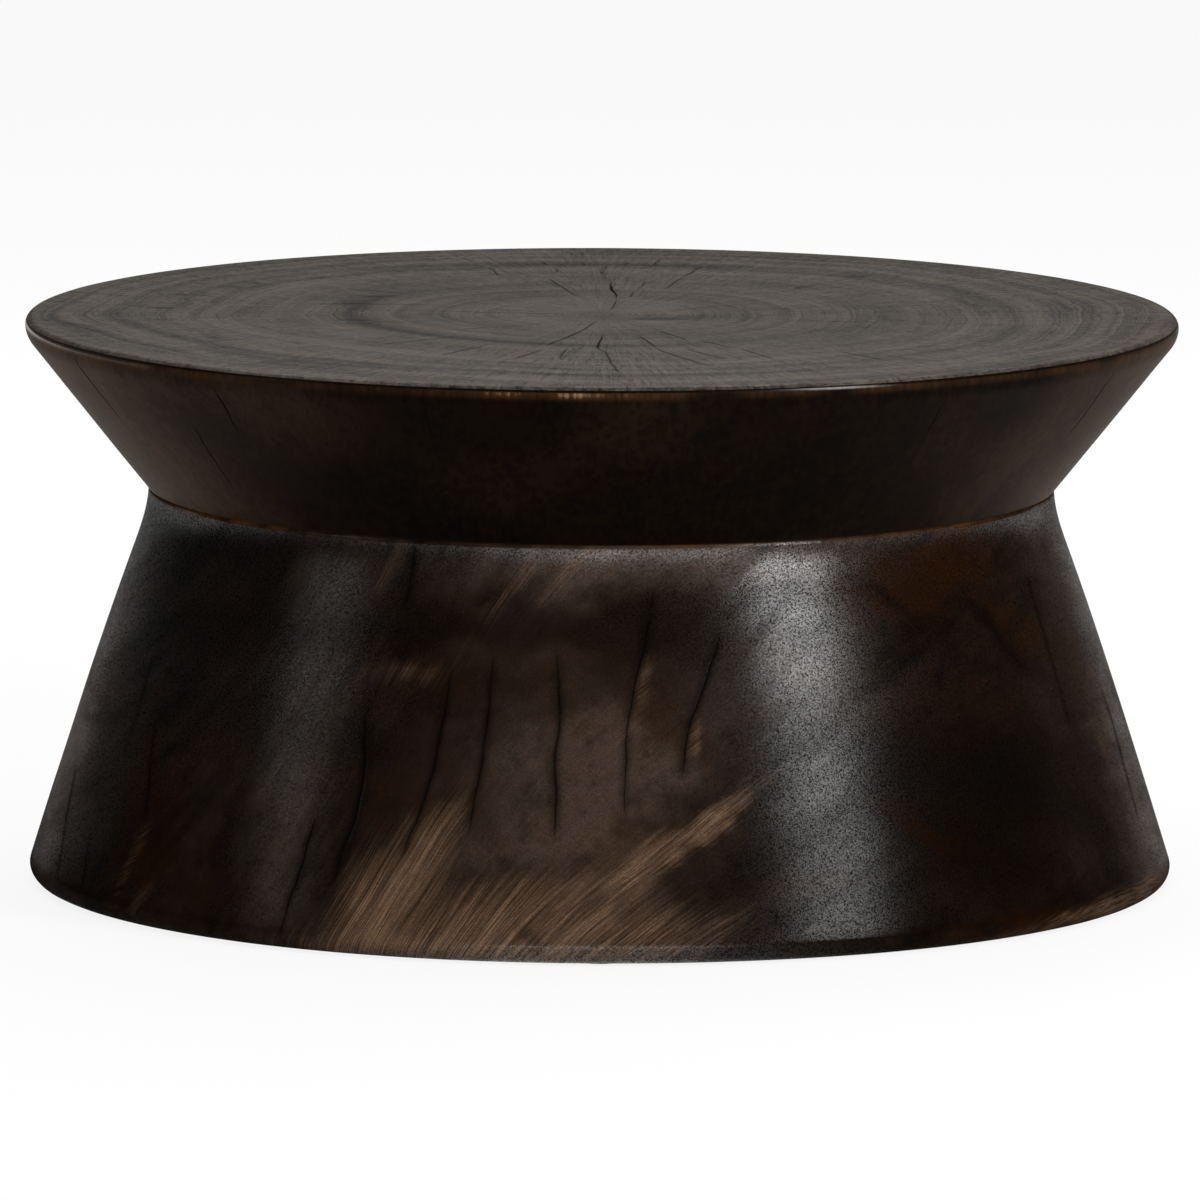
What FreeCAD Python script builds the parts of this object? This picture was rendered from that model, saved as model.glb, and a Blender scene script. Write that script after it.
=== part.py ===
import FreeCAD, Part
"""Waisted drum table, turned from two sections of tree trunk and bolted together at the waist.

The part stands on the floor, z = 0, with its turning axis on the Z axis. The upper section is
a solid cone of end grain. The lower section flares to the floor and is hollowed from below.
All sizes are millimetres.
"""
import math
import os

# ------------------------------------------------------------------ driving dimensions
# Upper section
RIM_RADIUS = 457.0            # widest line round the top, a 36 inch table
TOP_HEIGHT = 135.5            # waist joint to the flat top
RIM_UPPER_ROUND = 6.5         # round between the flat top and the widest line
RIM_LOWER_ROUND = 20.0        # softer round from the widest line down into the cone
WAIST_RADIUS = 359.2          # both sections where they meet
WAIST_ARRIS = 1.2             # eased edge of both sections at the joint

# Lower section
BASE_HEIGHT = 313.7           # underside of the foot to the waist joint
FOOT_RADIUS = 457.8           # flare carried down to the foot's underside, before its round
FOOT_ROUND = 12.0             # round on the foot's outer edge
NECK_COVE_DEPTH = 3.7         # hollow of the neck inside a straight flare
NECK_COVE_DROP = 50.0         # where that hollow is measured, below the waist

# Hollow of the lower section
WEB_THICKNESS = 55.0          # solid wood left under the waist joint
NECK_WALL = 48.0              # waist radius less the radius of the hollow's ceiling
FOOT_WALL = 62.0              # foot radius less the radius of the hollow's mouth
HOLLOW_FILLET = 30.0          # round between the hollow's wall and its ceiling
MOUTH_BEVEL = 5.0             # bevel round the hollow's mouth

# Turned register at the waist joint
SPIGOT_INSET = 124.0          # waist radius less the spigot's radius
SPIGOT_HEIGHT = 10.0
SPIGOT_CLEARANCE = 0.5        # round the spigot and above the recess floor
SPIGOT_CHAMFER = 1.5

# Bolts through the web, M10
BOLT_COUNT = 6
BOLT_FIRST_TURN = 0.0         # degrees from +X
BOLT_RADIUS = 4.9
BOLT_HEAD_FLATS = 16.0
BOLT_HEAD_HEIGHT = 6.4
BOLT_HEAD_CHAMFER_ANGLE = 30.0  # degrees, off the head's face
BOLT_HOLE_CLEARANCE = 1.1     # lets the wood move round the bolt
BOLT_TIP_CHAMFER = 1.0
WASHER_RADIUS = 15.0
WASHER_THICKNESS = 2.5
WASHER_BORE_CLEARANCE = 0.35
SPOTFACE_DEPTH = 3.0
SPOTFACE_CLEARANCE = 2.0

# Threaded inserts in the upper section
INSERT_LENGTH = 30.0
INSERT_RADIUS = 8.0
INSERT_FLANGE_RADIUS = 10.5
INSERT_FLANGE_THICKNESS = 1.6
INSERT_THREAD_CLEARANCE = 0.1
INSERT_HOLE_DEPTH = 36.0
INSERT_SEAT_CLEARANCE = 0.1

# Wooden dowels that stop the sections turning on each other
DOWEL_COUNT = 4
DOWEL_FIRST_TURN = 45.0       # degrees from +X
DOWEL_INSET = 34.0            # waist radius less the radius of the dowels' circle
DOWEL_RADIUS = 8.0
DOWEL_LENGTH = 60.0
DOWEL_CHAMFER = 1.5
DOWEL_HOLE_CLEARANCE = 0.1    # on the radius
DOWEL_END_CLEARANCE = 1.0     # left at each end

# Felt glides let into the foot
GLIDE_COUNT = 6
GLIDE_FIRST_TURN = 30.0       # degrees from +X
GLIDE_STANDOFF = 1.0          # foot to floor
CUP_RADIUS = 19.0
CUP_HEIGHT = 4.0
CUP_WALL = 1.5
CUP_SEAT_CLEARANCE = 0.3      # round the cup in its recess
FELT_CLEARANCE = 0.1          # round the felt in its cup
FELT_HOLE_RADIUS = 6.5
SCREW_RADIUS = 2.1
SCREW_LENGTH = 25.0
SCREW_POINT_LENGTH = 4.0
SCREW_HEAD_RADIUS = 4.0
SCREW_HEAD_HEIGHT = 2.6
SCREW_HEAD_CHAMFER = 1.2
SCREW_HOLE_CLEARANCE = 0.1    # on the radius, in the cup and in the wood

# ------------------------------------------------------------------ worked-out places
FLOOR = 0.0
Z_FOOT = FLOOR + GLIDE_STANDOFF
Z_WAIST = Z_FOOT + BASE_HEIGHT
Z_TOP = Z_WAIST + TOP_HEIGHT
Z_WIDEST = Z_TOP - RIM_UPPER_ROUND
Z_WEB = Z_WAIST - WEB_THICKNESS
Z_BOLT_SEAT = Z_WEB + SPOTFACE_DEPTH
Z_CUP_TOP = Z_FOOT + CUP_HEIGHT
Z_CUP_FLOOR = Z_CUP_TOP - CUP_WALL

SPIGOT_RADIUS = WAIST_RADIUS - SPIGOT_INSET
RECESS_RADIUS = SPIGOT_RADIUS + SPIGOT_CLEARANCE
CEILING_RADIUS = WAIST_RADIUS - NECK_WALL
MOUTH_RADIUS = FOOT_RADIUS - FOOT_WALL
FLARE_TAPER = (FOOT_RADIUS - WAIST_RADIUS) / BASE_HEIGHT
# Where the foot's round leaves the flat underside, inside its sharp corner
FOOT_FLAT_RADIUS = FOOT_RADIUS - FOOT_ROUND * math.tan(math.pi / 4 + math.atan(FLARE_TAPER) / 2)
# Bolts stand midway across the flat of the web, and glides midway across the flat of the foot
BOLT_CIRCLE_RADIUS = (RECESS_RADIUS + CEILING_RADIUS - HOLLOW_FILLET) / 2
GLIDE_CIRCLE_RADIUS = (MOUTH_RADIUS + MOUTH_BEVEL + FOOT_FLAT_RADIUS) / 2
DOWEL_CIRCLE_RADIUS = WAIST_RADIUS - DOWEL_INSET

HEX_SIDES = 6
UP = FreeCAD.Vector(0, 0, 1)
DOWN = FreeCAD.Vector(0, 0, -1)
ORIGIN = FreeCAD.Vector(0, 0, 0)


# ------------------------------------------------------------------ helpers
def on_profile(radius, z):
    """A point of a half-profile, in the plane that is spun round the Z axis."""
    return FreeCAD.Vector(radius, 0, z)


def on_circle(radius, turn, z):
    """A point at a radius and an angle, in degrees, about the Z axis."""
    angle = math.radians(turn)
    return FreeCAD.Vector(radius * math.cos(angle), radius * math.sin(angle), z)


def line(start, end):
    return Part.LineSegment(start, end).toShape()


def polyline(points):
    """Straight edges through the points, in order."""
    return [line(start, end) for start, end in zip(points, points[1:])]


def turned(edges):
    """The solid that a closed half-profile sweeps round the Z axis."""
    profile = Part.Face(Part.Wire(edges))
    return profile.revolve(ORIGIN, UP, 360)


def turned_polygon(points):
    """A turned solid whose half-profile has straight edges only."""
    return turned(polyline(points + points[:1]))


def around(count, first_turn):
    """Evenly spaced angles, in degrees."""
    return [first_turn + 360.0 * step / count for step in range(count)]


def ring_edges(solid, radius, z):
    """The full circles of a solid at a radius and a height."""
    def is_match(edge):
        curve = edge.Curve
        return (isinstance(curve, Part.Circle)
                and math.isclose(curve.Radius, radius, abs_tol=0.01)
                and math.isclose(curve.Center.z, z, abs_tol=0.01))
    return [edge for edge in solid.Edges if is_match(edge)]


def cylinder(radius, depth, centre, direction):
    return Part.makeCylinder(radius, depth, centre, direction)


BOLT_TURNS = around(BOLT_COUNT, BOLT_FIRST_TURN)
DOWEL_TURNS = around(DOWEL_COUNT, DOWEL_FIRST_TURN)
GLIDE_TURNS = around(GLIDE_COUNT, GLIDE_FIRST_TURN)


# ------------------------------------------------------------------ upper section
def rim_tangent():
    """Where the rim's lower round meets the straight cone that runs to the waist."""
    centre = on_profile(RIM_RADIUS - RIM_LOWER_ROUND, Z_WIDEST)
    to_waist = on_profile(WAIST_RADIUS, Z_WAIST) - centre
    bearing = math.atan2(to_waist.z, to_waist.x)
    swing = math.acos(RIM_LOWER_ROUND / to_waist.Length)
    angle = bearing + swing
    reach = on_profile(RIM_LOWER_ROUND * math.cos(angle), RIM_LOWER_ROUND * math.sin(angle))
    return centre, centre + reach, angle


def make_top_drum():
    """End-grain cone with a rounded rim and an eased foot, and a shallow spigot under it."""
    centre, tangent, angle = rim_tangent()
    lower_mid = centre + on_profile(RIM_LOWER_ROUND * math.cos(angle / 2),
                                    RIM_LOWER_ROUND * math.sin(angle / 2))
    widest = on_profile(RIM_RADIUS, Z_WIDEST)
    upper_centre = on_profile(RIM_RADIUS - RIM_UPPER_ROUND, Z_WIDEST)
    upper_reach = RIM_UPPER_ROUND * math.sqrt(0.5)
    upper_mid = upper_centre + on_profile(upper_reach, upper_reach)
    flat_edge = on_profile(RIM_RADIUS - RIM_UPPER_ROUND, Z_TOP)
    waist = on_profile(WAIST_RADIUS, Z_WAIST)
    spigot_foot = Z_WAIST - SPIGOT_HEIGHT
    edges = [
        line(waist, tangent),
        Part.Arc(tangent, lower_mid, widest).toShape(),
        Part.Arc(widest, upper_mid, flat_edge).toShape(),
    ]
    edges += polyline([
        flat_edge,
        on_profile(0, Z_TOP),
        on_profile(0, spigot_foot),
        on_profile(SPIGOT_RADIUS - SPIGOT_CHAMFER, spigot_foot),
        on_profile(SPIGOT_RADIUS, spigot_foot + SPIGOT_CHAMFER),
        on_profile(SPIGOT_RADIUS, Z_WAIST),
        waist,
    ])
    drum = turned(edges)
    drum = drum.makeChamfer(WAIST_ARRIS, ring_edges(drum, WAIST_RADIUS, Z_WAIST))

    holes = []
    for turn in BOLT_TURNS:
        mouth = on_circle(BOLT_CIRCLE_RADIUS, turn, Z_WAIST)
        holes.append(cylinder(INSERT_RADIUS + INSERT_SEAT_CLEARANCE, INSERT_HOLE_DEPTH, mouth, UP))
        holes.append(cylinder(INSERT_FLANGE_RADIUS + INSERT_SEAT_CLEARANCE,
                              INSERT_FLANGE_THICKNESS, mouth, UP))
    for turn in DOWEL_TURNS:
        mouth = on_circle(DOWEL_CIRCLE_RADIUS, turn, Z_WAIST)
        holes.append(cylinder(DOWEL_RADIUS + DOWEL_HOLE_CLEARANCE,
                              DOWEL_LENGTH / 2 + DOWEL_END_CLEARANCE, mouth, UP))
    return drum.cut(holes)


# ------------------------------------------------------------------ lower section
def flare_curve():
    """The flare: it leaves the waist upright, is hollowed at the neck and runs straight out at
    the foot."""
    cove_radius = WAIST_RADIUS + FLARE_TAPER * NECK_COVE_DROP - NECK_COVE_DEPTH
    stations = [
        on_profile(WAIST_RADIUS, Z_WAIST),
        on_profile(cove_radius, Z_WAIST - NECK_COVE_DROP),
        on_profile(FOOT_RADIUS, Z_FOOT),
    ]
    curve = Part.BSplineCurve()
    curve.interpolate(Points=stations, InitialTangent=DOWN,
                      FinalTangent=on_profile(FLARE_TAPER, -1))
    return curve


def make_base_drum():
    """Flared drum, hollowed from below under a solid web that carries the upper section."""
    recess_floor = Z_WAIST - SPIGOT_HEIGHT - SPIGOT_CLEARANCE
    edges = [flare_curve().toShape()]
    edges += polyline([
        on_profile(FOOT_RADIUS, Z_FOOT),
        on_profile(MOUTH_RADIUS, Z_FOOT),
        on_profile(CEILING_RADIUS, Z_WEB),
        on_profile(0, Z_WEB),
        on_profile(0, recess_floor),
        on_profile(RECESS_RADIUS, recess_floor),
        on_profile(RECESS_RADIUS, Z_WAIST),
        on_profile(WAIST_RADIUS, Z_WAIST),
    ])
    drum = turned(edges)
    drum = drum.makeFillet(FOOT_ROUND, ring_edges(drum, FOOT_RADIUS, Z_FOOT))
    drum = drum.makeFillet(HOLLOW_FILLET, ring_edges(drum, CEILING_RADIUS, Z_WEB))
    drum = drum.makeChamfer(MOUTH_BEVEL, ring_edges(drum, MOUTH_RADIUS, Z_FOOT))
    drum = drum.makeChamfer(WAIST_ARRIS, ring_edges(drum, WAIST_RADIUS, Z_WAIST))

    holes = []
    for turn in BOLT_TURNS:
        holes.append(cylinder(BOLT_RADIUS + BOLT_HOLE_CLEARANCE, WEB_THICKNESS,
                              on_circle(BOLT_CIRCLE_RADIUS, turn, Z_WEB), UP))
        holes.append(cylinder(WASHER_RADIUS + SPOTFACE_CLEARANCE, SPOTFACE_DEPTH,
                              on_circle(BOLT_CIRCLE_RADIUS, turn, Z_WEB), UP))
    for turn in DOWEL_TURNS:
        holes.append(cylinder(DOWEL_RADIUS + DOWEL_HOLE_CLEARANCE,
                              DOWEL_LENGTH / 2 + DOWEL_END_CLEARANCE,
                              on_circle(DOWEL_CIRCLE_RADIUS, turn, Z_WAIST), DOWN))
    for turn in GLIDE_TURNS:
        holes.append(cylinder(CUP_RADIUS + CUP_SEAT_CLEARANCE, CUP_HEIGHT,
                              on_circle(GLIDE_CIRCLE_RADIUS, turn, Z_FOOT), UP))
        holes.append(cylinder(SCREW_RADIUS + SCREW_HOLE_CLEARANCE, SCREW_LENGTH,
                              on_circle(GLIDE_CIRCLE_RADIUS, turn, Z_CUP_FLOOR), UP))
    return drum.cut(holes)


# ------------------------------------------------------------------ joint hardware
def make_joint_bolt():
    """Hex bolt, head down, that reaches through the web to the end of its insert."""
    seat = Z_BOLT_SEAT - WASHER_THICKNESS
    head_face = seat - BOLT_HEAD_HEIGHT
    tip = Z_WAIST + INSERT_LENGTH
    side_turns = around(HEX_SIDES, 0.0)
    corner_radius = BOLT_HEAD_FLATS / 2 / math.cos(math.pi / HEX_SIDES)
    corners = [on_circle(corner_radius, turn, head_face) for turn in side_turns]
    head = Part.Face(Part.makePolygon(corners + corners[:1])).extrude(UP * BOLT_HEAD_HEIGHT)
    spread = BOLT_HEAD_HEIGHT / math.tan(math.radians(BOLT_HEAD_CHAMFER_ANGLE))
    crown = Part.makeCone(BOLT_HEAD_FLATS / 2, BOLT_HEAD_FLATS / 2 + spread,
                          BOLT_HEAD_HEIGHT, on_profile(0, head_face), UP)
    shank = turned_polygon([
        on_profile(0, seat),
        on_profile(BOLT_RADIUS, seat),
        on_profile(BOLT_RADIUS, tip - BOLT_TIP_CHAMFER),
        on_profile(BOLT_RADIUS - BOLT_TIP_CHAMFER, tip),
        on_profile(0, tip),
    ])
    return head.common(crown).fuse(shank).removeSplitter()


def make_joint_washer():
    """Flat washer in the spot face under the web."""
    blank = cylinder(WASHER_RADIUS, WASHER_THICKNESS, on_profile(0, Z_BOLT_SEAT), DOWN)
    bore = cylinder(BOLT_RADIUS + WASHER_BORE_CLEARANCE, WASHER_THICKNESS,
                    on_profile(0, Z_BOLT_SEAT), DOWN)
    return blank.cut(bore)


def make_threaded_insert():
    """Flanged insert, flush with the underside of the upper section."""
    bore_radius = BOLT_RADIUS + INSERT_THREAD_CLEARANCE
    return turned_polygon([
        on_profile(bore_radius, Z_WAIST),
        on_profile(INSERT_FLANGE_RADIUS, Z_WAIST),
        on_profile(INSERT_FLANGE_RADIUS, Z_WAIST + INSERT_FLANGE_THICKNESS),
        on_profile(INSERT_RADIUS, Z_WAIST + INSERT_FLANGE_THICKNESS),
        on_profile(INSERT_RADIUS, Z_WAIST + INSERT_LENGTH),
        on_profile(bore_radius, Z_WAIST + INSERT_LENGTH),
    ])


def make_locating_dowel():
    """Wooden dowel, half in each section, with chamfered ends."""
    low = Z_WAIST - DOWEL_LENGTH / 2
    high = Z_WAIST + DOWEL_LENGTH / 2
    return turned_polygon([
        on_profile(0, low),
        on_profile(DOWEL_RADIUS - DOWEL_CHAMFER, low),
        on_profile(DOWEL_RADIUS, low + DOWEL_CHAMFER),
        on_profile(DOWEL_RADIUS, high - DOWEL_CHAMFER),
        on_profile(DOWEL_RADIUS - DOWEL_CHAMFER, high),
        on_profile(0, high),
    ])


# ------------------------------------------------------------------ glides
def make_glide_cup():
    """Shallow cup, open downwards, let into the foot."""
    screw_hole = SCREW_RADIUS + SCREW_HOLE_CLEARANCE
    return turned_polygon([
        on_profile(screw_hole, Z_CUP_TOP),
        on_profile(CUP_RADIUS, Z_CUP_TOP),
        on_profile(CUP_RADIUS, Z_FOOT),
        on_profile(CUP_RADIUS - CUP_WALL, Z_FOOT),
        on_profile(CUP_RADIUS - CUP_WALL, Z_CUP_FLOOR),
        on_profile(screw_hole, Z_CUP_FLOOR),
    ])


def make_glide_felt():
    """Felt ring that fills the cup and stands on the floor."""
    outer = CUP_RADIUS - CUP_WALL - FELT_CLEARANCE
    return turned_polygon([
        on_profile(FELT_HOLE_RADIUS, FLOOR),
        on_profile(outer, FLOOR),
        on_profile(outer, Z_CUP_FLOOR),
        on_profile(FELT_HOLE_RADIUS, Z_CUP_FLOOR),
    ])


def make_glide_screw():
    """Pan-head screw through the cup's floor, its head inside the felt ring."""
    tip = Z_CUP_FLOOR + SCREW_LENGTH
    head_foot = Z_CUP_FLOOR - SCREW_HEAD_HEIGHT
    return turned_polygon([
        on_profile(0, head_foot),
        on_profile(SCREW_HEAD_RADIUS - SCREW_HEAD_CHAMFER, head_foot),
        on_profile(SCREW_HEAD_RADIUS, head_foot + SCREW_HEAD_CHAMFER),
        on_profile(SCREW_HEAD_RADIUS, Z_CUP_FLOOR),
        on_profile(SCREW_RADIUS, Z_CUP_FLOOR),
        on_profile(SCREW_RADIUS, tip - SCREW_POINT_LENGTH),
        on_profile(0, tip),
    ])


# ------------------------------------------------------------------ assembly
def repeated(name, shape, radius, turns):
    """One node for each copy of a shape, moved out to a radius and turned round the axis."""
    nodes = {}
    for number, turn in enumerate(turns, start=1):
        copy = shape.copy()
        copy.translate(on_profile(radius, 0))
        copy.rotate(ORIGIN, UP, turn)
        nodes[f"{name}_{number}"] = copy
    return nodes


def make_nodes():
    nodes = {"top_drum": make_top_drum(), "base_drum": make_base_drum()}
    at_bolts = (BOLT_CIRCLE_RADIUS, BOLT_TURNS)
    at_glides = (GLIDE_CIRCLE_RADIUS, GLIDE_TURNS)
    nodes.update(repeated("joint_bolt", make_joint_bolt(), *at_bolts))
    nodes.update(repeated("joint_washer", make_joint_washer(), *at_bolts))
    nodes.update(repeated("threaded_insert", make_threaded_insert(), *at_bolts))
    nodes.update(repeated("locating_dowel", make_locating_dowel(),
                          DOWEL_CIRCLE_RADIUS, DOWEL_TURNS))
    nodes.update(repeated("glide_cup", make_glide_cup(), *at_glides))
    nodes.update(repeated("glide_felt", make_glide_felt(), *at_glides))
    nodes.update(repeated("glide_screw", make_glide_screw(), *at_glides))
    return nodes


def main():
    os.makedirs("parts", exist_ok=True)
    for name, shape in make_nodes().items():
        shape.exportStep(f"parts/{name}.step")
        print(name, "solids", len(shape.Solids), "valid", shape.isValid(),
              "volume", round(shape.Volume, 1))


main()
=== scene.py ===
import math

import bpy
import numpy as np
from bpy.props import FloatProperty, FloatVectorProperty, IntProperty, PointerProperty
from bpy.types import Operator, Panel, PropertyGroup
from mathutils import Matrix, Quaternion, Vector


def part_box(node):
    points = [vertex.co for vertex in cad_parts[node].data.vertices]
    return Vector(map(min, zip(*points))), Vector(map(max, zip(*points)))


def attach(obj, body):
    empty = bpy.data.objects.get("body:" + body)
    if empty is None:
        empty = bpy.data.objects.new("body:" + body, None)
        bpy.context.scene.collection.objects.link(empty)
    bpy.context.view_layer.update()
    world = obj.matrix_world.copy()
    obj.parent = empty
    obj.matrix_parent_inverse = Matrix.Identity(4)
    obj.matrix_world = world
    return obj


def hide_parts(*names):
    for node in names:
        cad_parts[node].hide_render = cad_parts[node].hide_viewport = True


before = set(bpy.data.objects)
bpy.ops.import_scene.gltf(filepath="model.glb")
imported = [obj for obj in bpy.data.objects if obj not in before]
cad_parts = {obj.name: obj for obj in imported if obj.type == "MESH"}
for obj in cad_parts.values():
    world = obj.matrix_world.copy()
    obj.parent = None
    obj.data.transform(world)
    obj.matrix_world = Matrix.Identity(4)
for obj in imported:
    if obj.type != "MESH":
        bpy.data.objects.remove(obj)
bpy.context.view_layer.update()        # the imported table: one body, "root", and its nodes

bl_info = {
    "name": "Waisted drum table",
    "version": (1, 0, 0),
    "blender": (4, 5, 0),
    "location": "View3D > Sidebar > Drum Table",
    "description": "A waisted table turned from two sections of dark stained trunk wood",
    "category": "Add Mesh",
}

MM = 0.001
BODY = "root"
FULL_TURN = 360.0


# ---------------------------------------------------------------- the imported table's sizes
def box_mm(node):
    """A node's lowest and highest corner, in millimetres, as two arrays."""
    low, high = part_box(node)
    return np.array(low) / MM, np.array(high) / MM


def nodes_named(stem):
    """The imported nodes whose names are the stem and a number, in order."""
    return sorted(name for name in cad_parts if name.rsplit("_", 1)[0] == stem)


def spots(stem):
    """Where the numbered nodes of a stem stand on the plan: one (x, y) each, in millimetres."""
    boxes = [box_mm(name) for name in nodes_named(stem)]
    return [((low + high) / 2)[:2] for low, high in boxes]


TOP_LOW, TOP_HIGH = box_mm("top_drum")
BASE_LOW, BASE_HIGH = box_mm("base_drum")
RIM = float(TOP_HIGH[0])                 # widest radius
Z_TOP = float(TOP_HIGH[2])
Z_SPIGOT = float(TOP_LOW[2])             # underside of the register that locates the top
Z_WAIST = float(BASE_HIGH[2])
Z_FOOT = float(BASE_LOW[2])
WAIST = 359.2
UPPER_ROUND = 6.5
LOWER_ROUND = 20.0
Z_WIDEST = Z_TOP - UPPER_ROUND
SPIGOT = 235.2
SPIGOT_CHAMFER = 1.5
REGISTER_GAP = 0.5                       # between the spigot and its recess, all round
RECESS = SPIGOT + REGISTER_GAP
Z_RECESS = Z_SPIGOT - REGISTER_GAP
FOOT = 457.8                             # flare carried down to a sharp foot
FOOT_ROUND = 12.0
COVE_DEPTH = 3.7                         # how far the neck lies inside a straight flare
COVE_DROP = 50.0
ARRIS = 1.2
FOOT_WALL, NECK_WALL, WEB = 62.0, 48.0, 55.0
MOUTH = FOOT - FOOT_WALL
MOUTH_BEVEL = 5.0
CEILING = WAIST - NECK_WALL
Z_WEB = Z_WAIST - WEB
HOLLOW_FILLET = 30.0
TAPER = (FOOT - WAIST) / (Z_WAIST - Z_FOOT)
FRONT = 270.0                            # the turn that faces the camera

# Radii and depths of the bores for the hardware, and how far outside the wood a cutter starts.
OVERCUT = 1.0
INSERT_BORE, INSERT_DEPTH = 8.1, 36.0
FLANGE_BORE, FLANGE_SEAT = 10.6, 1.6
DOWEL_BORE, DOWEL_DEPTH = 8.1, 31.0
BOLT_BORE, WASHER_BORE, WASHER_SEAT = 6.0, 17.0, 3.0
GLIDE_BORE, GLIDE_SEAT = 19.3, 4.0
SCREW_BORE, SCREW_DEPTH = 2.2, 27.5


# ---------------------------------------------------------------- whole-array helpers
def wrap(turn):
    """An angle in degrees brought to between -180 and 180."""
    return (np.asarray(turn) + 180.0) % FULL_TURN - 180.0


def polar(x, y):
    """Radius and turn, in degrees, of points on the plan."""
    return np.hypot(x, y), np.degrees(np.arctan2(y, x))


def bump(distance, width):
    """A bell that is 1 where the distance is 0 and fades over the width."""
    return np.exp(-(distance / width) ** 2)


def leaning_bump(level, upright, lean, length, width):
    """A bell round 0, 0 that fades over the length along its lean, in degrees from level, and
    over the width across it."""
    angle = math.radians(lean)
    along = level * math.cos(angle) + upright * math.sin(angle)
    across = upright * math.cos(angle) - level * math.sin(angle)
    return np.exp(-(along / length) ** 2 - (across / width) ** 2)


def fade(value, start, end):
    """Rises smoothly from 0 at start to 1 at end."""
    t = np.clip((value - start) / (end - start), 0.0, 1.0)
    return t * t * (3.0 - 2.0 * t)


def ripple(points, length, seed, waves=14):
    """Smooth noise from about -1 to 1: a sum of plane waves of about one wavelength.

    points is an (n, 3) array, and each wave has its own direction, length and start.
    """
    rng = np.random.default_rng(seed)
    direction = rng.normal(size=(waves, 3))
    direction /= np.linalg.norm(direction, axis=1)[:, None]
    reach = 2.0 * math.pi / (length * rng.uniform(0.7, 1.5, waves))
    start = rng.uniform(0.0, 2.0 * math.pi, waves)
    phase = points @ (direction * reach[:, None]).T + start
    return np.sin(phase).sum(axis=1) / math.sqrt(waves) * 0.75


def wander(run, seed, length=44.0):
    """Sideways wander of a check along its run: three sine waves of falling length."""
    rng = np.random.default_rng(seed)
    start = rng.uniform(0.0, 2.0 * math.pi, 3)
    lengths = length * np.array([1.0, 0.47, 0.23])
    share = np.array([0.6, 0.3, 0.2])
    return (np.sin(run[:, None] * 2.0 * math.pi / lengths + start) * share).sum(axis=1)


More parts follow.
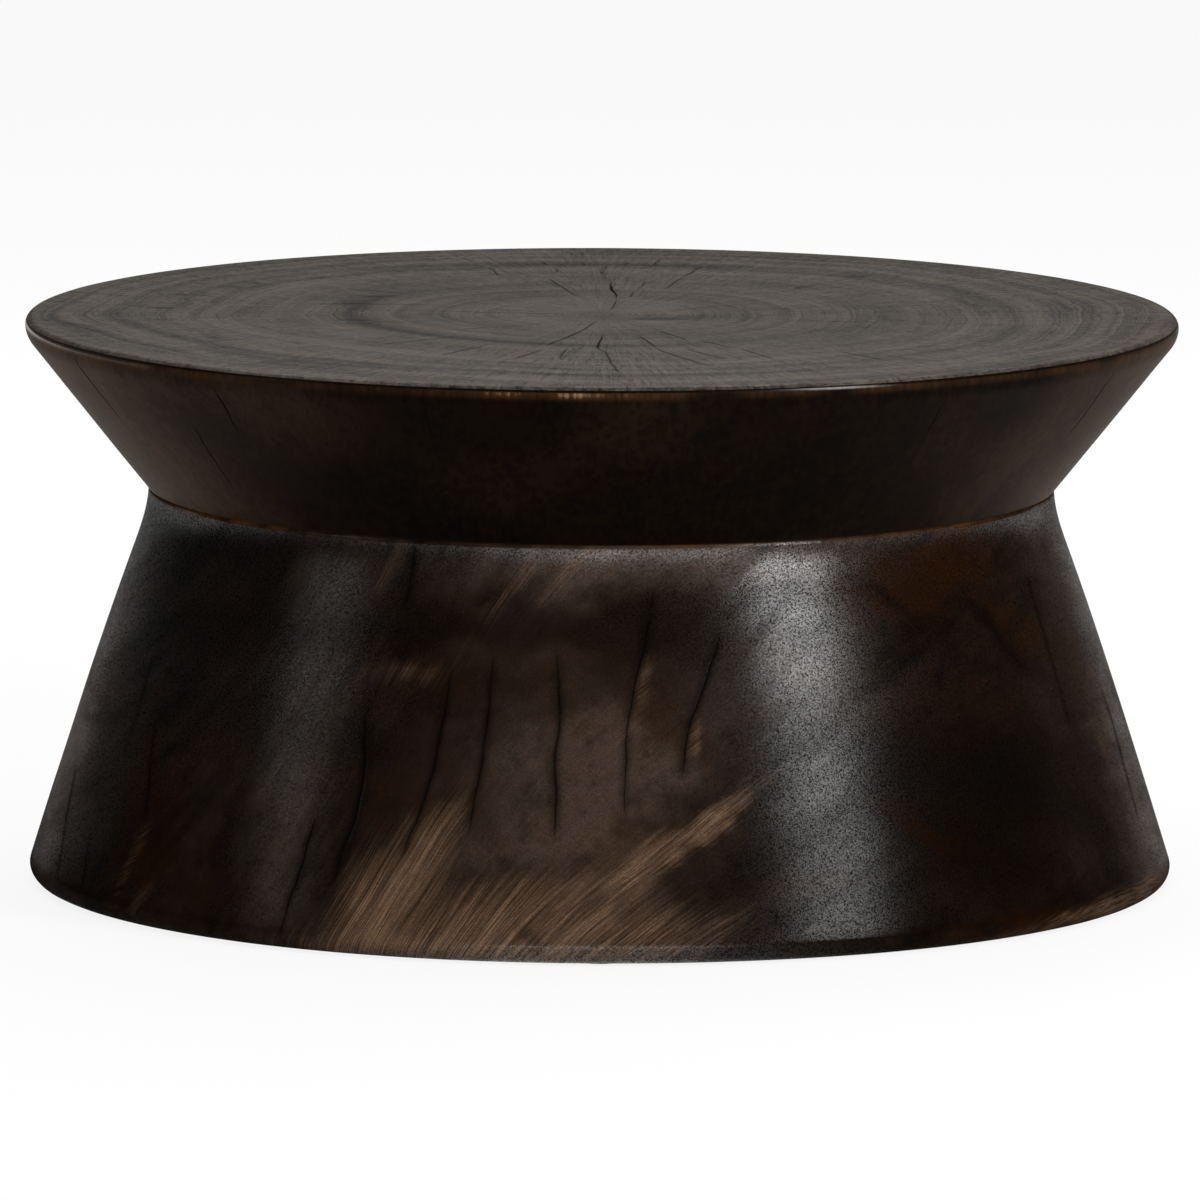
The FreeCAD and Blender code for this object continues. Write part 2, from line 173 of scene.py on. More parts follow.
# ---------------------------------------------------------------- drying checks
# Each line is a list of knots (run, turn, half width): run is millimetres along the skin,
# turn is degrees from +X, and a half width of 0 closes the check.
# On the upper section, run is the radius out to the widest line, then 457 and the drop below it.
TOP_CHECKS = [
    [(234, 48.9, 0), (244, 49.8, .35), (258, 50.9, 0), (330, 52, 0), (470, 53, 0),
     (478, 53.2, .3), (520, 53.6, 0)],
    [(58, 27, 0), (70, 30.2, .35), (105, 33.8, .4), (122, 35.2, 0)],
    [(180, 74, 0), (190, 74.1, .3), (238, 75.4, .35), (262, 75.5, .1), (285, 75.7, .45),
     (330, 76.1, .3), (340, 76.2, 0)],
    [(40, 75, 0), (118, 79, 0), (132, 79.7, .3), (152, 81, .25), (160, 80.8, 0), (187, 80.3, .25),
     (221, 81.1, .2), (230, 81.3, 0), (330, 82.8, 0), (345, 82.9, .3), (368, 82.9, .3),
     (380, 83, 0)],
    [(60, 78, 0), (119, 82.2, 0), (222, 85.2, 0), (330, 86.9, 0), (340, 86.8, .3), (362, 86.8, 0)],
    [(34, 79, 0), (44, 80, .3), (80, 82.6, .4), (92, 83.3, .1), (122, 84.5, .25), (142, 85.6, .7),
     (164, 87.2, 1.0), (184, 88.2, .85), (200, 87.6, .4), (224, 88.3, .1), (262, 89.4, 0),
     (280, 89.9, .3), (322, 89.5, .3), (332, 89.4, 0)],
    [(120, 91.6, 0), (326, 92.5, 0), (338, 92.6, .3), (359, 92.6, 0)],
    [(126, 99.3, 0), (140, 99.5, .3), (200, 100, .4), (232, 100.2, .3), (242, 100.2, 0),
     (284, 97.4, 0), (296, 97, .5), (314, 96.6, 0), (334, 97.7, 0), (342, 97.8, .3), (366, 97.9, 0)],
    [(268, 108, 0), (282, 107.5, .35), (320, 106.2, .3), (332, 106, 0)],
    [(206, 139.2, 0), (220, 139.6, .3), (262, 140.3, .3), (272, 140.5, 0)],
    [(206, 146.8, 0), (216, 147.2, .45), (230, 148, .4), (238, 148.2, 0)],
    [(150, 155.6, 0), (162, 157, .5), (200, 160, .35), (244, 163.4, 0), (380, 163.4, 0),
     (396, 163.1, .5), (430, 162.2, .45), (452, 161.6, .3), (470, 161.4, .3), (500, 161, 0)],
    [(30, 168.4, 0), (44, 168.9, .35), (112, 170.9, .35), (124, 171.2, 0), (410, 170.4, 0),
     (422, 170.2, .35), (448, 170, .35), (480, 169.8, .2), (520, 169.5, 0)],
    [(168, 196.6, 0), (180, 194.6, .6), (200, 190.8, .5), (208, 189.2, 0)],
    [(458, 205.6, 0), (468, 205.6, .5), (498, 205.9, .45), (514, 206.1, 0)],
    [(70, 229, 0), (82, 227.6, .3), (140, 221.4, .3), (158, 219.6, 0), (500, 221.8, 0),
     (512, 221.7, .35), (548, 221.5, .3), (560, 221.4, 0)],
    [(190, 230.8, 0), (204, 230, .5), (250, 228.2, .35), (272, 227.3, 0), (462, 228.9, 0),
     (474, 228.8, .5), (496, 228.6, .35), (508, 228.5, 0)],
    [(210, 245.5, 0), (226, 245.1, .35), (278, 244.4, .3), (288, 244.3, 0)],
    [(44, 262.9, 0), (58, 262.3, .2), (108, 260.5, .35), (124, 259.9, .55), (186, 257.7, .5),
     (200, 257.3, 0), (226, 258.2, 0), (240, 257.9, .35), (278, 256.4, .3), (290, 256, 0),
     (462, 252.7, 0), (472, 252.6, .4), (494, 252.4, .3), (506, 252.3, 0)],
    [(220, 262.7, 0), (234, 262.8, .35), (274, 263.2, .3), (284, 263.3, 0)],
    [(126, 270.2, 0), (142, 270, .4), (196, 269, .6), (214, 268.7, .3), (222, 269.8, .15),
     (236, 270.8, .25), (300, 271.3, .35), (352, 272, .3), (366, 272.2, 0)],
    [(132, 282.5, 0), (146, 282.3, .4), (192, 282, .45), (206, 281.5, .1), (222, 281.2, .2),
     (260, 282.4, .35), (322, 284.5, .3), (334, 285, 0)],
    [(110, 293.4, 0), (120, 293.8, .3), (140, 293.2, .35), (168, 293.2, .3), (178, 293, 0),
     (220, 287, 0), (234, 287.1, .3), (284, 288.9, .35), (296, 289.2, 0)],
    [(178, 295.5, 0), (192, 295.7, .45), (222, 296.3, .4), (234, 296.6, 0), (242, 296.9, 0),
     (254, 296.8, .35), (296, 296, .3), (306, 295.8, 0)],
    [(290, 309.3, 0), (304, 309.1, .4), (350, 308.2, .35), (370, 307.7, 0), (470, 306, 0),
     (482, 306, .3), (530, 305.6, 0)],
    [(464, 332, 0), (476, 332.1, .35), (512, 332.4, .3), (524, 332.5, 0)],
    [(150, 348, 0), (166, 348.6, .3), (214, 350, .3), (226, 350.2, 0), (466, 351, 0),
     (478, 351, .3), (540, 350.4, 0)],
    [(200, 14, 0), (214, 14.6, .3), (262, 15.6, .3), (274, 16, 0), (466, 19, 0), (480, 19.2, .45),
     (530, 19.8, 0)],
    [(466, 118, 0), (480, 118, .4), (526, 117.4, .3), (540, 117.2, 0)],
]

# On the lower section, run is the height over the floor.
BASE_CHECKS = [
    [(70, 3, 0), (86, 3.6, .3), (160, 2.6, .45), (214, 4.2, .3), (232, 4.6, 0)],
    [(24, 16, 0), (40, 16.4, .38), (110, 18.6, .45), (150, 18.2, 0)],
    [(150, 34, 0), (166, 33.8, .3), (236, 32.4, .38), (258, 31.8, 0)],
    [(60, 47, 0), (80, 47.6, .38), (130, 49.8, .52), (190, 49.2, .38), (210, 49, 0)],
    [(96, 68, 0), (112, 68.2, .3), (170, 66.2, .38), (226, 67.4, .22), (240, 67.6, 0)],
    [(40, 83, 0), (60, 83.4, .38), (120, 85.8, .52), (176, 85, .3), (196, 84.8, 0)],
    [(130, 101, 0), (150, 100.6, .3), (220, 102.4, .38), (244, 103, 0)],
    [(54, 117, 0), (74, 117.4, .38), (146, 115, .45), (180, 115.8, 0)],
    [(30, 133, 0), (50, 133.4, .3), (96, 135.6, .38), (128, 136, 0)],
    [(110, 151, 0), (126, 150.6, .38), (196, 148.4, .52), (236, 149.4, 0)],
    [(46, 168, 0), (62, 168.3, .3), (120, 170.6, .38), (150, 170.8, 0)],
    [(16, 199.2, 0), (26, 198.8, .3), (60, 196.4, .34), (96, 194.2, .3), (104, 193.6, 0)],
    [(14, 206.2, 0), (24, 205.9, .22), (52, 204.4, .26), (66, 204, 0)],
    [(120, 206.8, 0), (140, 207, .19), (190, 207.1, .19), (200, 207, 0)],
    [(76, 214.9, 0), (90, 214.5, .3), (108, 213.6, .38), (146, 211.8, .26), (156, 211.5, 0)],
    [(8, 236.8, 0), (22, 237, .3), (54, 237.9, .38), (94, 238.7, .34), (104, 239, 0)],
    [(50, 242, 0), (64, 242.2, .34), (114, 243.9, .68), (150, 243.8, .52), (176, 243, .3),
     (186, 242.7, 0), (258, 245.6, 0), (268, 246, .38), (300, 246.4, .45), (312, 246.4, 0)],
    [(76, 249.2, 0), (86, 249.5, .38), (120, 251.2, .64), (162, 252.1, .45), (212, 252.7, .26),
     (224, 252.8, 0)],
    [(96, 256.2, 0), (108, 256.4, .3), (162, 257.3, .45), (218, 257.5, .3), (232, 257.6, 0)],
    [(92, 265.2, 0), (106, 265.4, .3), (116, 265.5, .41), (156, 264.9, .64), (188, 265.7, .45),
     (226, 264.9, .26), (240, 264.8, 0)],
    [(110, 272.6, 0), (124, 272.6, .26), (156, 272.7, .38), (190, 273.1, .34), (248, 275.4, .38),
     (274, 276.3, .22), (284, 276.5, 0)],
    [(140, 278.8, 0), (152, 279, .38), (174, 279.4, .45), (202, 281.3, .52), (240, 283.8, .38),
     (252, 284.4, 0)],
    [(20, 287.5, 0), (32, 287.6, .19), (50, 288, 0)],
    [(146, 333.8, 0), (160, 333.9, .26), (260, 334.1, .22), (272, 334.2, 0)],
    [(60, 346, 0), (76, 346.2, .3), (140, 347.6, .38), (176, 347.2, 0)],
]

CLOSED = 0.28          # half width, mm, at which a closed check's columns wait
LIP = 1.6              # half widths from a check's line to the columns at its lips
CLUSTER = np.array([-1.0, -LIP, -0.6, 0.0, 0.6, LIP, 1.0])     # the outer two stand clear of it
PLACES = len(CLUSTER)
SHOULDER = 2.2         # mm from a check's lip to the columns that stand clear of it
CLEARANCE = 0.62       # degrees from a check's line within which no even column stands
WIDEST_TURN = 0.55     # degrees from a check's line to its outer columns, at the most
INNER_TURN = WIDEST_TURN / 2.2         # the same for an inner column, times its place in CLUSTER
LATERAL_SINK = 0.55    # share of the depth at the inner columns
SINK = np.array([0.0, 0.0, LATERAL_SINK, 1.0, LATERAL_SINK, 0.0, 0.0])
BEND_STEPS = (-16.0, -8.0, 0.0, 8.0, 16.0)      # mm along the run over which a bend is rounded


def check_paths(lines, run, seed, sway):
    """Turn and half width of every check at the given runs, as two (runs, lines) arrays.

    Both are straight between a line's knots. The turn is then averaged over a short stretch
    up and down the run, which rounds the bends, and wanders a little sideways.
    """
    turns, widths = [], []
    for number, knots in enumerate(lines):
        at, turn, width = np.array(knots, float).T
        course = sum(np.interp(run + step, at, turn) for step in BEND_STEPS) / len(BEND_STEPS)
        turns.append(course + sway * wander(run, seed + number))
        widths.append(np.interp(run, at, width))
    return np.array(turns).T, np.array(widths).T


def check_columns(lines, count):
    """Columns round the turning axis: even ones, and seven close together at every check.

    Returns each check's mean turn, each column's nominal turn, its check or -1, its place in
    the cluster of seven, and how much each check's sideways move carries it: 1 at the check,
    0 at its neighbours.
    """
    centre = np.array([np.mean([turn for run, turn, width in knots]) for knots in lines])
    centre = centre % FULL_TURN
    even = np.arange(count) * FULL_TURN / count
    clear = np.abs(wrap(even[:, None] - centre[None, :])).min(axis=1) > CLEARANCE
    nominal = np.concatenate([even[clear], np.repeat(centre, PLACES)])
    check = np.concatenate([np.full(clear.sum(), -1), np.repeat(np.arange(len(lines)), PLACES)])
    place = np.concatenate([np.zeros(clear.sum(), int), np.tile(np.arange(PLACES), len(lines))])
    slot_key = nominal + (place - PLACES // 2) * 0.001 * (check >= 0)
    sort = np.argsort(slot_key, kind="stable")
    nominal, check, place = nominal[sort], check[sort], place[sort]
    order = np.argsort(centre)
    ring = np.pad(centre[order], 1, mode="wrap")
    ring[0] -= FULL_TURN
    ring[-1] += FULL_TURN
    hats = np.pad(np.eye(len(lines)), ((0, 0), (1, 1)), mode="wrap")
    carry = np.zeros((len(nominal), len(lines)))
    for line, hat in zip(order, hats):
        carry[:, line] = np.interp(nominal, ring, hat)
    return centre, nominal, check, place, carry


def checked_grid(lines, count, run, radius, seed, sway):
    """Turn and check depth of a grid of rows (one for each run) and columns.

    A column's turn is its nominal turn plus the sideways moves of the checks beside it. The
    seven columns of a check stand at fixed shares of its half width, which is an angle of
    half width over radius. Depth is the half width on the check's own line, a share of it at
    the inner columns beside the line, and 0 from the lips on.
    """
    centre, nominal, check, place, carry = check_columns(lines, count)
    turns, widths = check_paths(lines, run, seed, sway)
    move = wrap(turns - centre[None, :])
    turn = nominal[None, :] + move @ carry.T
    member = check >= 0
    own_width = widths[:, check[member]]
    half = np.maximum(own_width, CLOSED)
    share = CLUSTER[place[member]][None, :]
    outer = np.isin(place[member], (0, PLACES - 1))[None, :]
    reach = np.where(outer, np.sign(share) * (LIP * half + SHOULDER), share * half)
    angle = np.degrees(reach / np.maximum(radius, 1.0)[:, None])
    limit = np.where(outer, WIDEST_TURN, np.abs(share) * INNER_TURN)
    turn[:, member] += np.clip(angle, -limit, limit)
    depth = np.zeros_like(turn)
    depth[:, member] = SINK[place[member]][None, :] * own_width
    return turn, depth


def check_shade(lines, run, turn, radius, seed, sway, depth, spill):
    """Painted shade for lying in a check: depth on its line, with a soft painted shade of the spill,
    in millimetres, on either side.

    The dark is full within 1.1 half widths and gone at 2.1. It fades where the half width is
    under 0.2 mm, and the stain where it is under 0.4 mm.
    """
    turns, widths = check_paths(lines, run, seed, sway)
    away = np.abs(wrap(turn[:, None] - turns)) * math.pi / 180.0 * radius[:, None]
    half = np.maximum(widths, CLOSED)
    inside = depth * np.clip(2.1 - away / half, 0.0, 1.0) * np.clip(widths / 0.2, 0.0, 1.0)
    halo = 0.76 * bump(away, spill) * np.clip(widths / 0.4, 0.0, 1.0)
    return np.maximum(inside, halo).max(axis=1)


# ---------------------------------------------------------------- mesh makers
def arc(middle_r, middle_z, radius, angles):
    """Points of a half-profile on a circle, at angles in radians above the way outwards."""
    return [(middle_r + radius * math.cos(a), middle_z + radius * math.sin(a)) for a in angles]


def line(start, end, shares):
    """Points of a half-profile at the shares of the straight way from one point to another."""
    return [(start[0] + (end[0] - start[0]) * share, start[1] + (end[1] - start[1]) * share)
            for share in shares]


def turned(radius, height, turn):
    """Points at the radii, heights and turns, in degrees, as an (n, 3) array."""
    angle = np.radians(turn)
    sides = np.broadcast_arrays(radius * np.cos(angle), radius * np.sin(angle), height)
    return np.stack(sides, axis=-1).reshape(-1, 3)


def turned_faces(rows, columns):
    """Quads of a grid that closes on itself sideways, and a fan of triangles at each pole.

    The poles are the two last points. Faces point outwards when the rows run from the top
    of the axis outwards and down, and the columns turn anticlockwise seen from above.
    """
    here = np.arange(rows - 1)[:, None] * columns + np.arange(columns)[None, :]
    side = np.roll(here, -1, axis=1)
    quads = np.stack([here, here + columns, side + columns, side], axis=-1).reshape(-1, 4)
    first = np.arange(columns)
    after = np.roll(first, -1)
    start, end = rows * columns, rows * columns + 1
    last_row = (rows - 1) * columns
    head = np.stack([np.full(columns, start), first, after], axis=-1)
    tail = np.stack([np.full(columns, end), last_row + after, last_row + first], axis=-1)
    return quads, np.concatenate([head, tail])


def mesh_from(name, points, quads, triangles):
    """A mesh from arrays of points, in millimetres, and of quads and triangles."""
    mesh = bpy.data.meshes.new(name)
    corners = np.concatenate([quads.ravel(), triangles.ravel()]).astype(np.int32)
    sizes = np.concatenate([np.full(len(quads), 4), np.full(len(triangles), 3)])
    starts = np.concatenate([[0], np.cumsum(sizes)[:-1]]).astype(np.int32)
    mesh.vertices.add(len(points))
    mesh.vertices.foreach_set("co", (points * MM).astype(np.float32).ravel())
    mesh.loops.add(len(corners))
    mesh.loops.foreach_set("vertex_index", corners)
    mesh.polygons.add(len(sizes))
    mesh.polygons.foreach_set("loop_start", starts)
    mesh.update(calc_edges=True)
    mesh.validate()
    return mesh


def add_object(name, data):
    """A new object in the scene that carries the mesh, lamp or camera."""
    item = bpy.data.objects.new(name, data)
    bpy.context.scene.collection.objects.link(item)
    return item


def profile_normals(radius, height):
    """Unit normals of a half-profile, pointing out of the wood, from its neighbours' chord."""
    along_r = np.gradient(radius)
    along_z = np.gradient(height)
    length = np.hypot(along_r, along_z)
    length[length == 0] = 1.0
    return -along_z / length, along_r / length


def turned_piece(name, radius, height, turn, inwards, outwards, poles):
    """A closed piece: a grid of rows along a half-profile and columns round the axis.

    Each point is the profile's point turned to its column, moved into the wood against the
    profile's normal. poles are the heights of the two points on the axis.
    """
    out_r, out_z = outwards
    grid = turned(radius[:, None] - inwards * out_r[:, None],
                  height[:, None] - inwards * out_z[:, None], turn)
    ends = [(0.0, 0.0, level) for level in poles]
    quads, triangles = turned_faces(*turn.shape)
    return add_object(name, mesh_from(name, np.concatenate([grid, ends]), quads, triangles))


def stepped_bores(name, places, steps, sides=48):
    """Stepped round plugs, one at each place: the steps' half-profile turned round its axis."""
    radius, height = np.array(steps, float).T
    plug = turned(radius[:, None], height[:, None], np.arange(sides) * FULL_TURN / sides)
    plug = np.concatenate([plug, [(0.0, 0.0, height[0]), (0.0, 0.0, height[-1])]])
    face, cap = turned_faces(len(radius), sides)
    points = [plug + (x, y, 0.0) for x, y in places]
    quads = [face + number * len(plug) for number in range(len(places))]
    triangles = [cap + number * len(plug) for number in range(len(places))]
    mesh = mesh_from(name, np.concatenate(points), np.concatenate(quads),
                     np.concatenate(triangles))
    return add_object(name, mesh)


def bore(piece, cutters):
    """Cuts the cutters out of the piece and keeps the result as the piece's own mesh."""
    for cutter in cutters:
        modifier = piece.modifiers.new(cutter.name, "BOOLEAN")
        modifier.operation = "DIFFERENCE"
        modifier.object = cutter
        modifier.solver = "MANIFOLD"
    graph = bpy.context.evaluated_depsgraph_get()
    cut = bpy.data.meshes.new_from_object(piece.evaluated_get(graph))
    old = piece.data
    piece.modifiers.clear()
    piece.data = cut
    cut.name = piece.name
    bpy.data.meshes.remove(old)
    for cutter in cutters:
        shape = cutter.data
        bpy.data.objects.remove(cutter)
        bpy.data.meshes.remove(shape)


def numbers_of(items, name, width=1, kind=np.float32):
    """One property of all of a mesh's points, corners or faces, as rows of the width."""
    flat = np.empty(len(items) * width, kind)
    items.foreach_get(name, flat)
    return flat.reshape(-1, width)


def points_of(mesh):
    """The mesh's points as an (n, 3) array, in millimetres."""
    return numbers_of(mesh.vertices, "co", 3).astype(float) / MM


def face_centres(mesh):
    """The middle of each face as an (n, 3) array, in millimetres."""
    return numbers_of(mesh.polygons, "center", 3).astype(float) / MM


def give(mesh, name, values):
    """Stores one number for each point under a name that the material reads."""
    layer = mesh.attributes.new(name, "FLOAT", "POINT")
    layer.data.foreach_set("value", values.astype(np.float32))


def corner_arrays(mesh):
    """For each face corner: its point, its face's centre and its face's normal."""
    vertex = numbers_of(mesh.loops, "vertex_index", kind=np.int32)[:, 0]
    total = numbers_of(mesh.polygons, "loop_total", kind=np.int32)[:, 0]
    normal = numbers_of(mesh.polygons, "normal", 3)
    return (points_of(mesh)[vertex], np.repeat(face_centres(mesh), total, axis=0),
            np.repeat(normal, total, axis=0))


MAP_EDGE = 0.012       # left free along the edges of a bake map


def set_uv(mesh, u, v):
    """Stores the bake map: one pair for each face corner."""
    layer = mesh.uv_layers.new(name="OFBake")
    layer.data.foreach_set("uv", np.stack([u, v], axis=-1).astype(np.float32).ravel())


def plan_uv(point, middle_u, middle_v, scale):
    """Seen from above, with the axis at the middle and the scale in map widths to the mm."""
    return middle_u + point[:, 0] * scale, middle_v + point[:, 1] * scale


def strip_uv(point, centre, first_turn, count):
    """Strip number and place across it (0 to 1 and a little over), for a band that runs round
    the table and is cut into equal strips."""
    face_turn = (polar(centre[:, 0], centre[:, 1])[1] - first_turn) % FULL_TURN
    span = FULL_TURN / count
    strip = np.minimum((face_turn // span).astype(int), count - 1)
    own_turn = polar(point[:, 0], point[:, 1])[1] - first_turn
    turn = face_turn + wrap(own_turn - face_turn)
    return strip, (turn - strip * span) / span


# ---------------------------------------------------------------- upper section
CORE, MID_ROW = 3.0, 120.0         # radii of the innermost row of points and of one further out
DISC_EDGE = 2.6                    # how far down over the rim the disc's finish reaches


def rim_profile():
    """Half-profile of the upper section from the axis over the rim to the axis below.

    A flat disc, a quarter circle over the rim, an arc under it to the point where the
    straight cone touches it, the cone, its eased foot, the joint face and the spigot.
    """
    reach_r, reach_z = WAIST - (RIM - LOWER_ROUND), Z_WAIST - Z_WIDEST
    touch = math.atan2(reach_z, reach_r) + math.acos(LOWER_ROUND / math.hypot(reach_r, reach_z))
    disc = (*np.linspace(CORE, MID_ROW, 22), *np.linspace(125.0, 432.0, 60),
            *np.linspace(437.0, RIM - UPPER_ROUND - 0.6, 4), RIM - UPPER_ROUND)
    flat = [(reach, Z_TOP) for reach in disc]
    quarter = np.radians(np.linspace(90.0, 0.0, 13)[1:])
    upper = arc(RIM - UPPER_ROUND, Z_WIDEST, UPPER_ROUND, quarter)
    lower = arc(RIM - LOWER_ROUND, Z_WIDEST, LOWER_ROUND, np.linspace(0.0, touch, 8)[1:])
    slant = math.hypot(lower[-1][0] - WAIST, lower[-1][1] - Z_WAIST)
    shares = np.append(np.linspace(0.0, 1.0 - 3.0 / slant, 20)[1:], 1.0 - ARRIS / slant)
    cone = line(lower[-1], (WAIST, Z_WAIST), shares)
    inner = [(WAIST - ARRIS, Z_WAIST), (WAIST - 8.0, Z_WAIST), (SPIGOT + 4.0, Z_WAIST),
             (SPIGOT, Z_WAIST), (SPIGOT, Z_SPIGOT + SPIGOT_CHAMFER),
             (SPIGOT - SPIGOT_CHAMFER, Z_SPIGOT), (MID_ROW, Z_SPIGOT), (CORE, Z_SPIGOT)]
    radius, height = np.array(flat + upper + lower + cone + inner, float).T
    return radius, height, len(flat), len(radius) - len(inner)


def top_run(radius, height):
    """Run along the upper section's skin: the radius, then the rim and the drop below it."""
    under = (radius > 300.0) & (height < Z_WIDEST)
    return np.where(under, RIM + Z_WIDEST - height, radius)


def hand_ripple(turn, radius, height, seed):
    """Slight unevenness of hand finishing, from 0 to 1."""
    points = turned(radius, height, turn)
    wave = 0.6 * ripple(points, 150.0, seed) + 0.4 * ripple(points, 70.0, seed + 1)
    return np.clip(0.5 + 0.5 * wave, 0.0, 1.0).reshape(turn.shape)


# The rings' waves round the trunk: how many, where they start and their share of the radius.
RING_WAVES = [(2, 0.6, 0.020), (3, 2.1, 0.014), (5, 0.4, 0.009), (8, 4.0, 0.006), (17, 1.0, 0.003)]


def top_ring(x, y):
    """Distance from the pith counted in growth rings: the radius, stretched unevenly round the
    trunk by a few whole waves and a slow ripple that grows outwards."""
    radius, turn = polar(x + 4.0, y - 7.0)
    angle = np.radians(turn)
    oval = sum(share * np.sin(count * angle + start) for count, start, share in RING_WAVES)
    slow = ripple(np.stack([x, y, np.zeros_like(x)], axis=-1), 190.0, 31)
    return radius * (1.0 + oval + 0.014 * slow * fade(radius, 40.0, 260.0))


# Dark growth bands: ring distance, half width, depth of tone, middle turn and half span.
TOP_BANDS = [
    (122, 2.2, .30, 180, 400), (128, 10, .12, 250, 150), (150, 12, .10, 90, 400),
    (196, 6, .55, 205, 62), (199, 14, .30, 190, 110), (198, 10, .25, 285, 60),
    (236, 10, .14, 90, 400), (262, 6, .22, 265, 70), (268, 14, .12, 60, 110),
    (312, 9, .22, 110, 70), (330, 5, .50, 96, 26), (338, 12, .26, 85, 120),
    (345, 8, .25, 300, 55), (374, 4, .34, 235, 60), (378, 14, .20, 200, 120),
    (392, 5, .55, 236, 20), (404, 7, .22, 25, 60), (418, 6, .55, 202, 16),
    (424, 9, .24, 120, 90), (436, 7, .22, 290, 90), (372, 7, .16, 30, 55),
    (292, 5, .16, 330, 80), (216, 5, .20, 20, 70), (170, 4, .20, 320, 60),
]
# Light growth bands, the same way.
TOP_LIGHTS = [
    (60, 40, .35, 60, 400), (176, 9, .20, 90, 400), (228, 12, .22, 230, 90),
    (292, 16, .30, 80, 90), (300, 12, .28, 265, 80), (356, 12, .32, 262, 60),
    (358, 10, .24, 60, 80), (410, 12, .26, 250, 90), (332, 14, .20, 170, 60),
]
# Single dark marks: x, y, length, width, lean in degrees and depth of tone.
TOP_MARKS = [
    (47, -24, 26, 7, 4, .95), (62, -8, 34, 14, 18, .45), (40, 10, 18, 14, 70, .2),
    (-349, 36, 7, 10, 80, .8), (-336, 124, 5, 13, 72, .7), (205, 262, 9, 6, -30, .7),
    (366, 90, 4, 30, 12, .55), (372, 56, 4, 14, 8, .6), (-196, 66, 8, 34, 12, .6),
    (-180, 116, 14, 5, 20, .55), (-200, 66, 34, 4, -2, .6), (-198, -36, 10, 8, 40, .5),
    (-230, -330, 60, 7, -31, .65), (-246, -306, 40, 9, -34, .4), (-425, -70, 6, 60, 20, .45),
    (-430, -24, 5, 10, 20, .6), (-122, 300, 36, 5, 18, .55), (-10, 333, 90, 5, 3, .4),
    (-304, -155, 5, 22, 24, .55), (-160, -140, 6, 40, 46, .4), (215, -285, 40, 9, 32, .3),
    (96, -206, 5, 5, 0, .6), (282, 214, 5, 9, -40, .5), (180, 20, 6, 14, 10, .4),
    (224, -8, 3, 16, 4, .35), (206, -72, 3, 12, 12, .35), (372, -2, 4, 30, -4, .35),
    (-30, -376, 16, 3, 2, .45), (-90, -374, 24, 4, 6, .35), (400, -250, 10, 40, -30, .3),
    (330, -300, 60, 10, 40, .22), (-280, 205, 5, 12, 30, .45), (-295, 176, 7, 9, 40, .55),
]


def top_tone(x, y, ring, turn):
    """Depth of the stain on the end grain, about 0.5: bells in ring distance for the growth
    bands, each fading past its span of turns, bells on the plan for the single marks, and a
    slow ripple."""
    tone = np.full(len(x), 0.42)
    for bands, sign in ((TOP_BANDS, 1.0), (TOP_LIGHTS, -0.7)):
        for distance, width, depth, middle, span in bands:
            reach = 1.0 - fade(np.abs(wrap(turn - middle)), span * 0.6, span * 1.25)
            tone += sign * depth * bump(ring - distance, width) * reach
    for mark_x, mark_y, length, width, lean, depth in TOP_MARKS:
        tone += depth * leaning_bump(x - mark_x, y - mark_y, lean, length, width)
    plan = np.stack([x, y, ring * 2.4], axis=-1)
    tone += 0.10 * ripple(plan, 120.0, 41) + 0.07 * ripple(plan, 46.0, 43)
    return np.clip(tone, 0.0, 1.3)


TOP_SEED, TOP_SWAY = 100, 0.14
BASE_SEED, BASE_SWAY = 300, 0.10


def make_top(props):
    """The upper section. The hand finish moves its skin into the wood by up to the unevenness,
    and a check by its half width times check_depth, 9 mm at the most."""
    radius, height, flat_rows, skin_rows = rim_profile()
    run = top_run(radius, height)
    turn, open_width = checked_grid(TOP_CHECKS, props.top_columns, run, radius, TOP_SEED, TOP_SWAY)
    out_r, out_z = profile_normals(radius, height)
    out_r[:flat_rows] = 0.0
    out_z[:flat_rows] = 1.0
    skin = np.arange(len(radius)) < skin_rows - 1
    uneven = hand_ripple(turn, radius[:, None], height[:, None], 11)
    side = fade(run, RIM - 4.0, RIM + 14.0)
    kept = 0.5 * fade(run, RIM + 20.0, RIM + 50.0)
    dip = props.unevenness / MM
    sink = dip * (0.25 + 0.75 * side)[:, None] * (uneven - kept[:, None])
    depth = np.minimum(open_width * props.check_depth, 9.0) * fade(open_width, 0.10, 0.40)
    piece = turned_piece("drum_top", radius, height, turn, (sink + depth) * skin[:, None],
                         (out_r, out_z), (Z_TOP - dip * 0.12, Z_SPIGOT))
    seat = Z_WAIST + FLANGE_SEAT
    bore(piece, [
        stepped_bores("insert_bores", spots("threaded_insert"), [
            (INSERT_BORE, Z_WAIST + INSERT_DEPTH), (INSERT_BORE, seat), (FLANGE_BORE, seat),
            (FLANGE_BORE, Z_WAIST - OVERCUT)]),
        stepped_bores("dowel_bores", spots("locating_dowel"), [
            (DOWEL_BORE, Z_WAIST + DOWEL_DEPTH), (DOWEL_BORE, Z_WAIST - OVERCUT)]),
    ])
    dress_top(piece.data)
    map_top(piece.data)
    return piece


def finish_top(mesh, disc, side):
    """The disc, to half way over its rim, gets the first material, and the rest the second."""
    mesh.materials.clear()
    mesh.materials.append(disc)
    mesh.materials.append(side)
    below = face_centres(mesh)[:, 2] < Z_TOP - DISC_EDGE
    mesh.polygons.foreach_set("material_index", below.astype(np.int32))
    mesh.update()


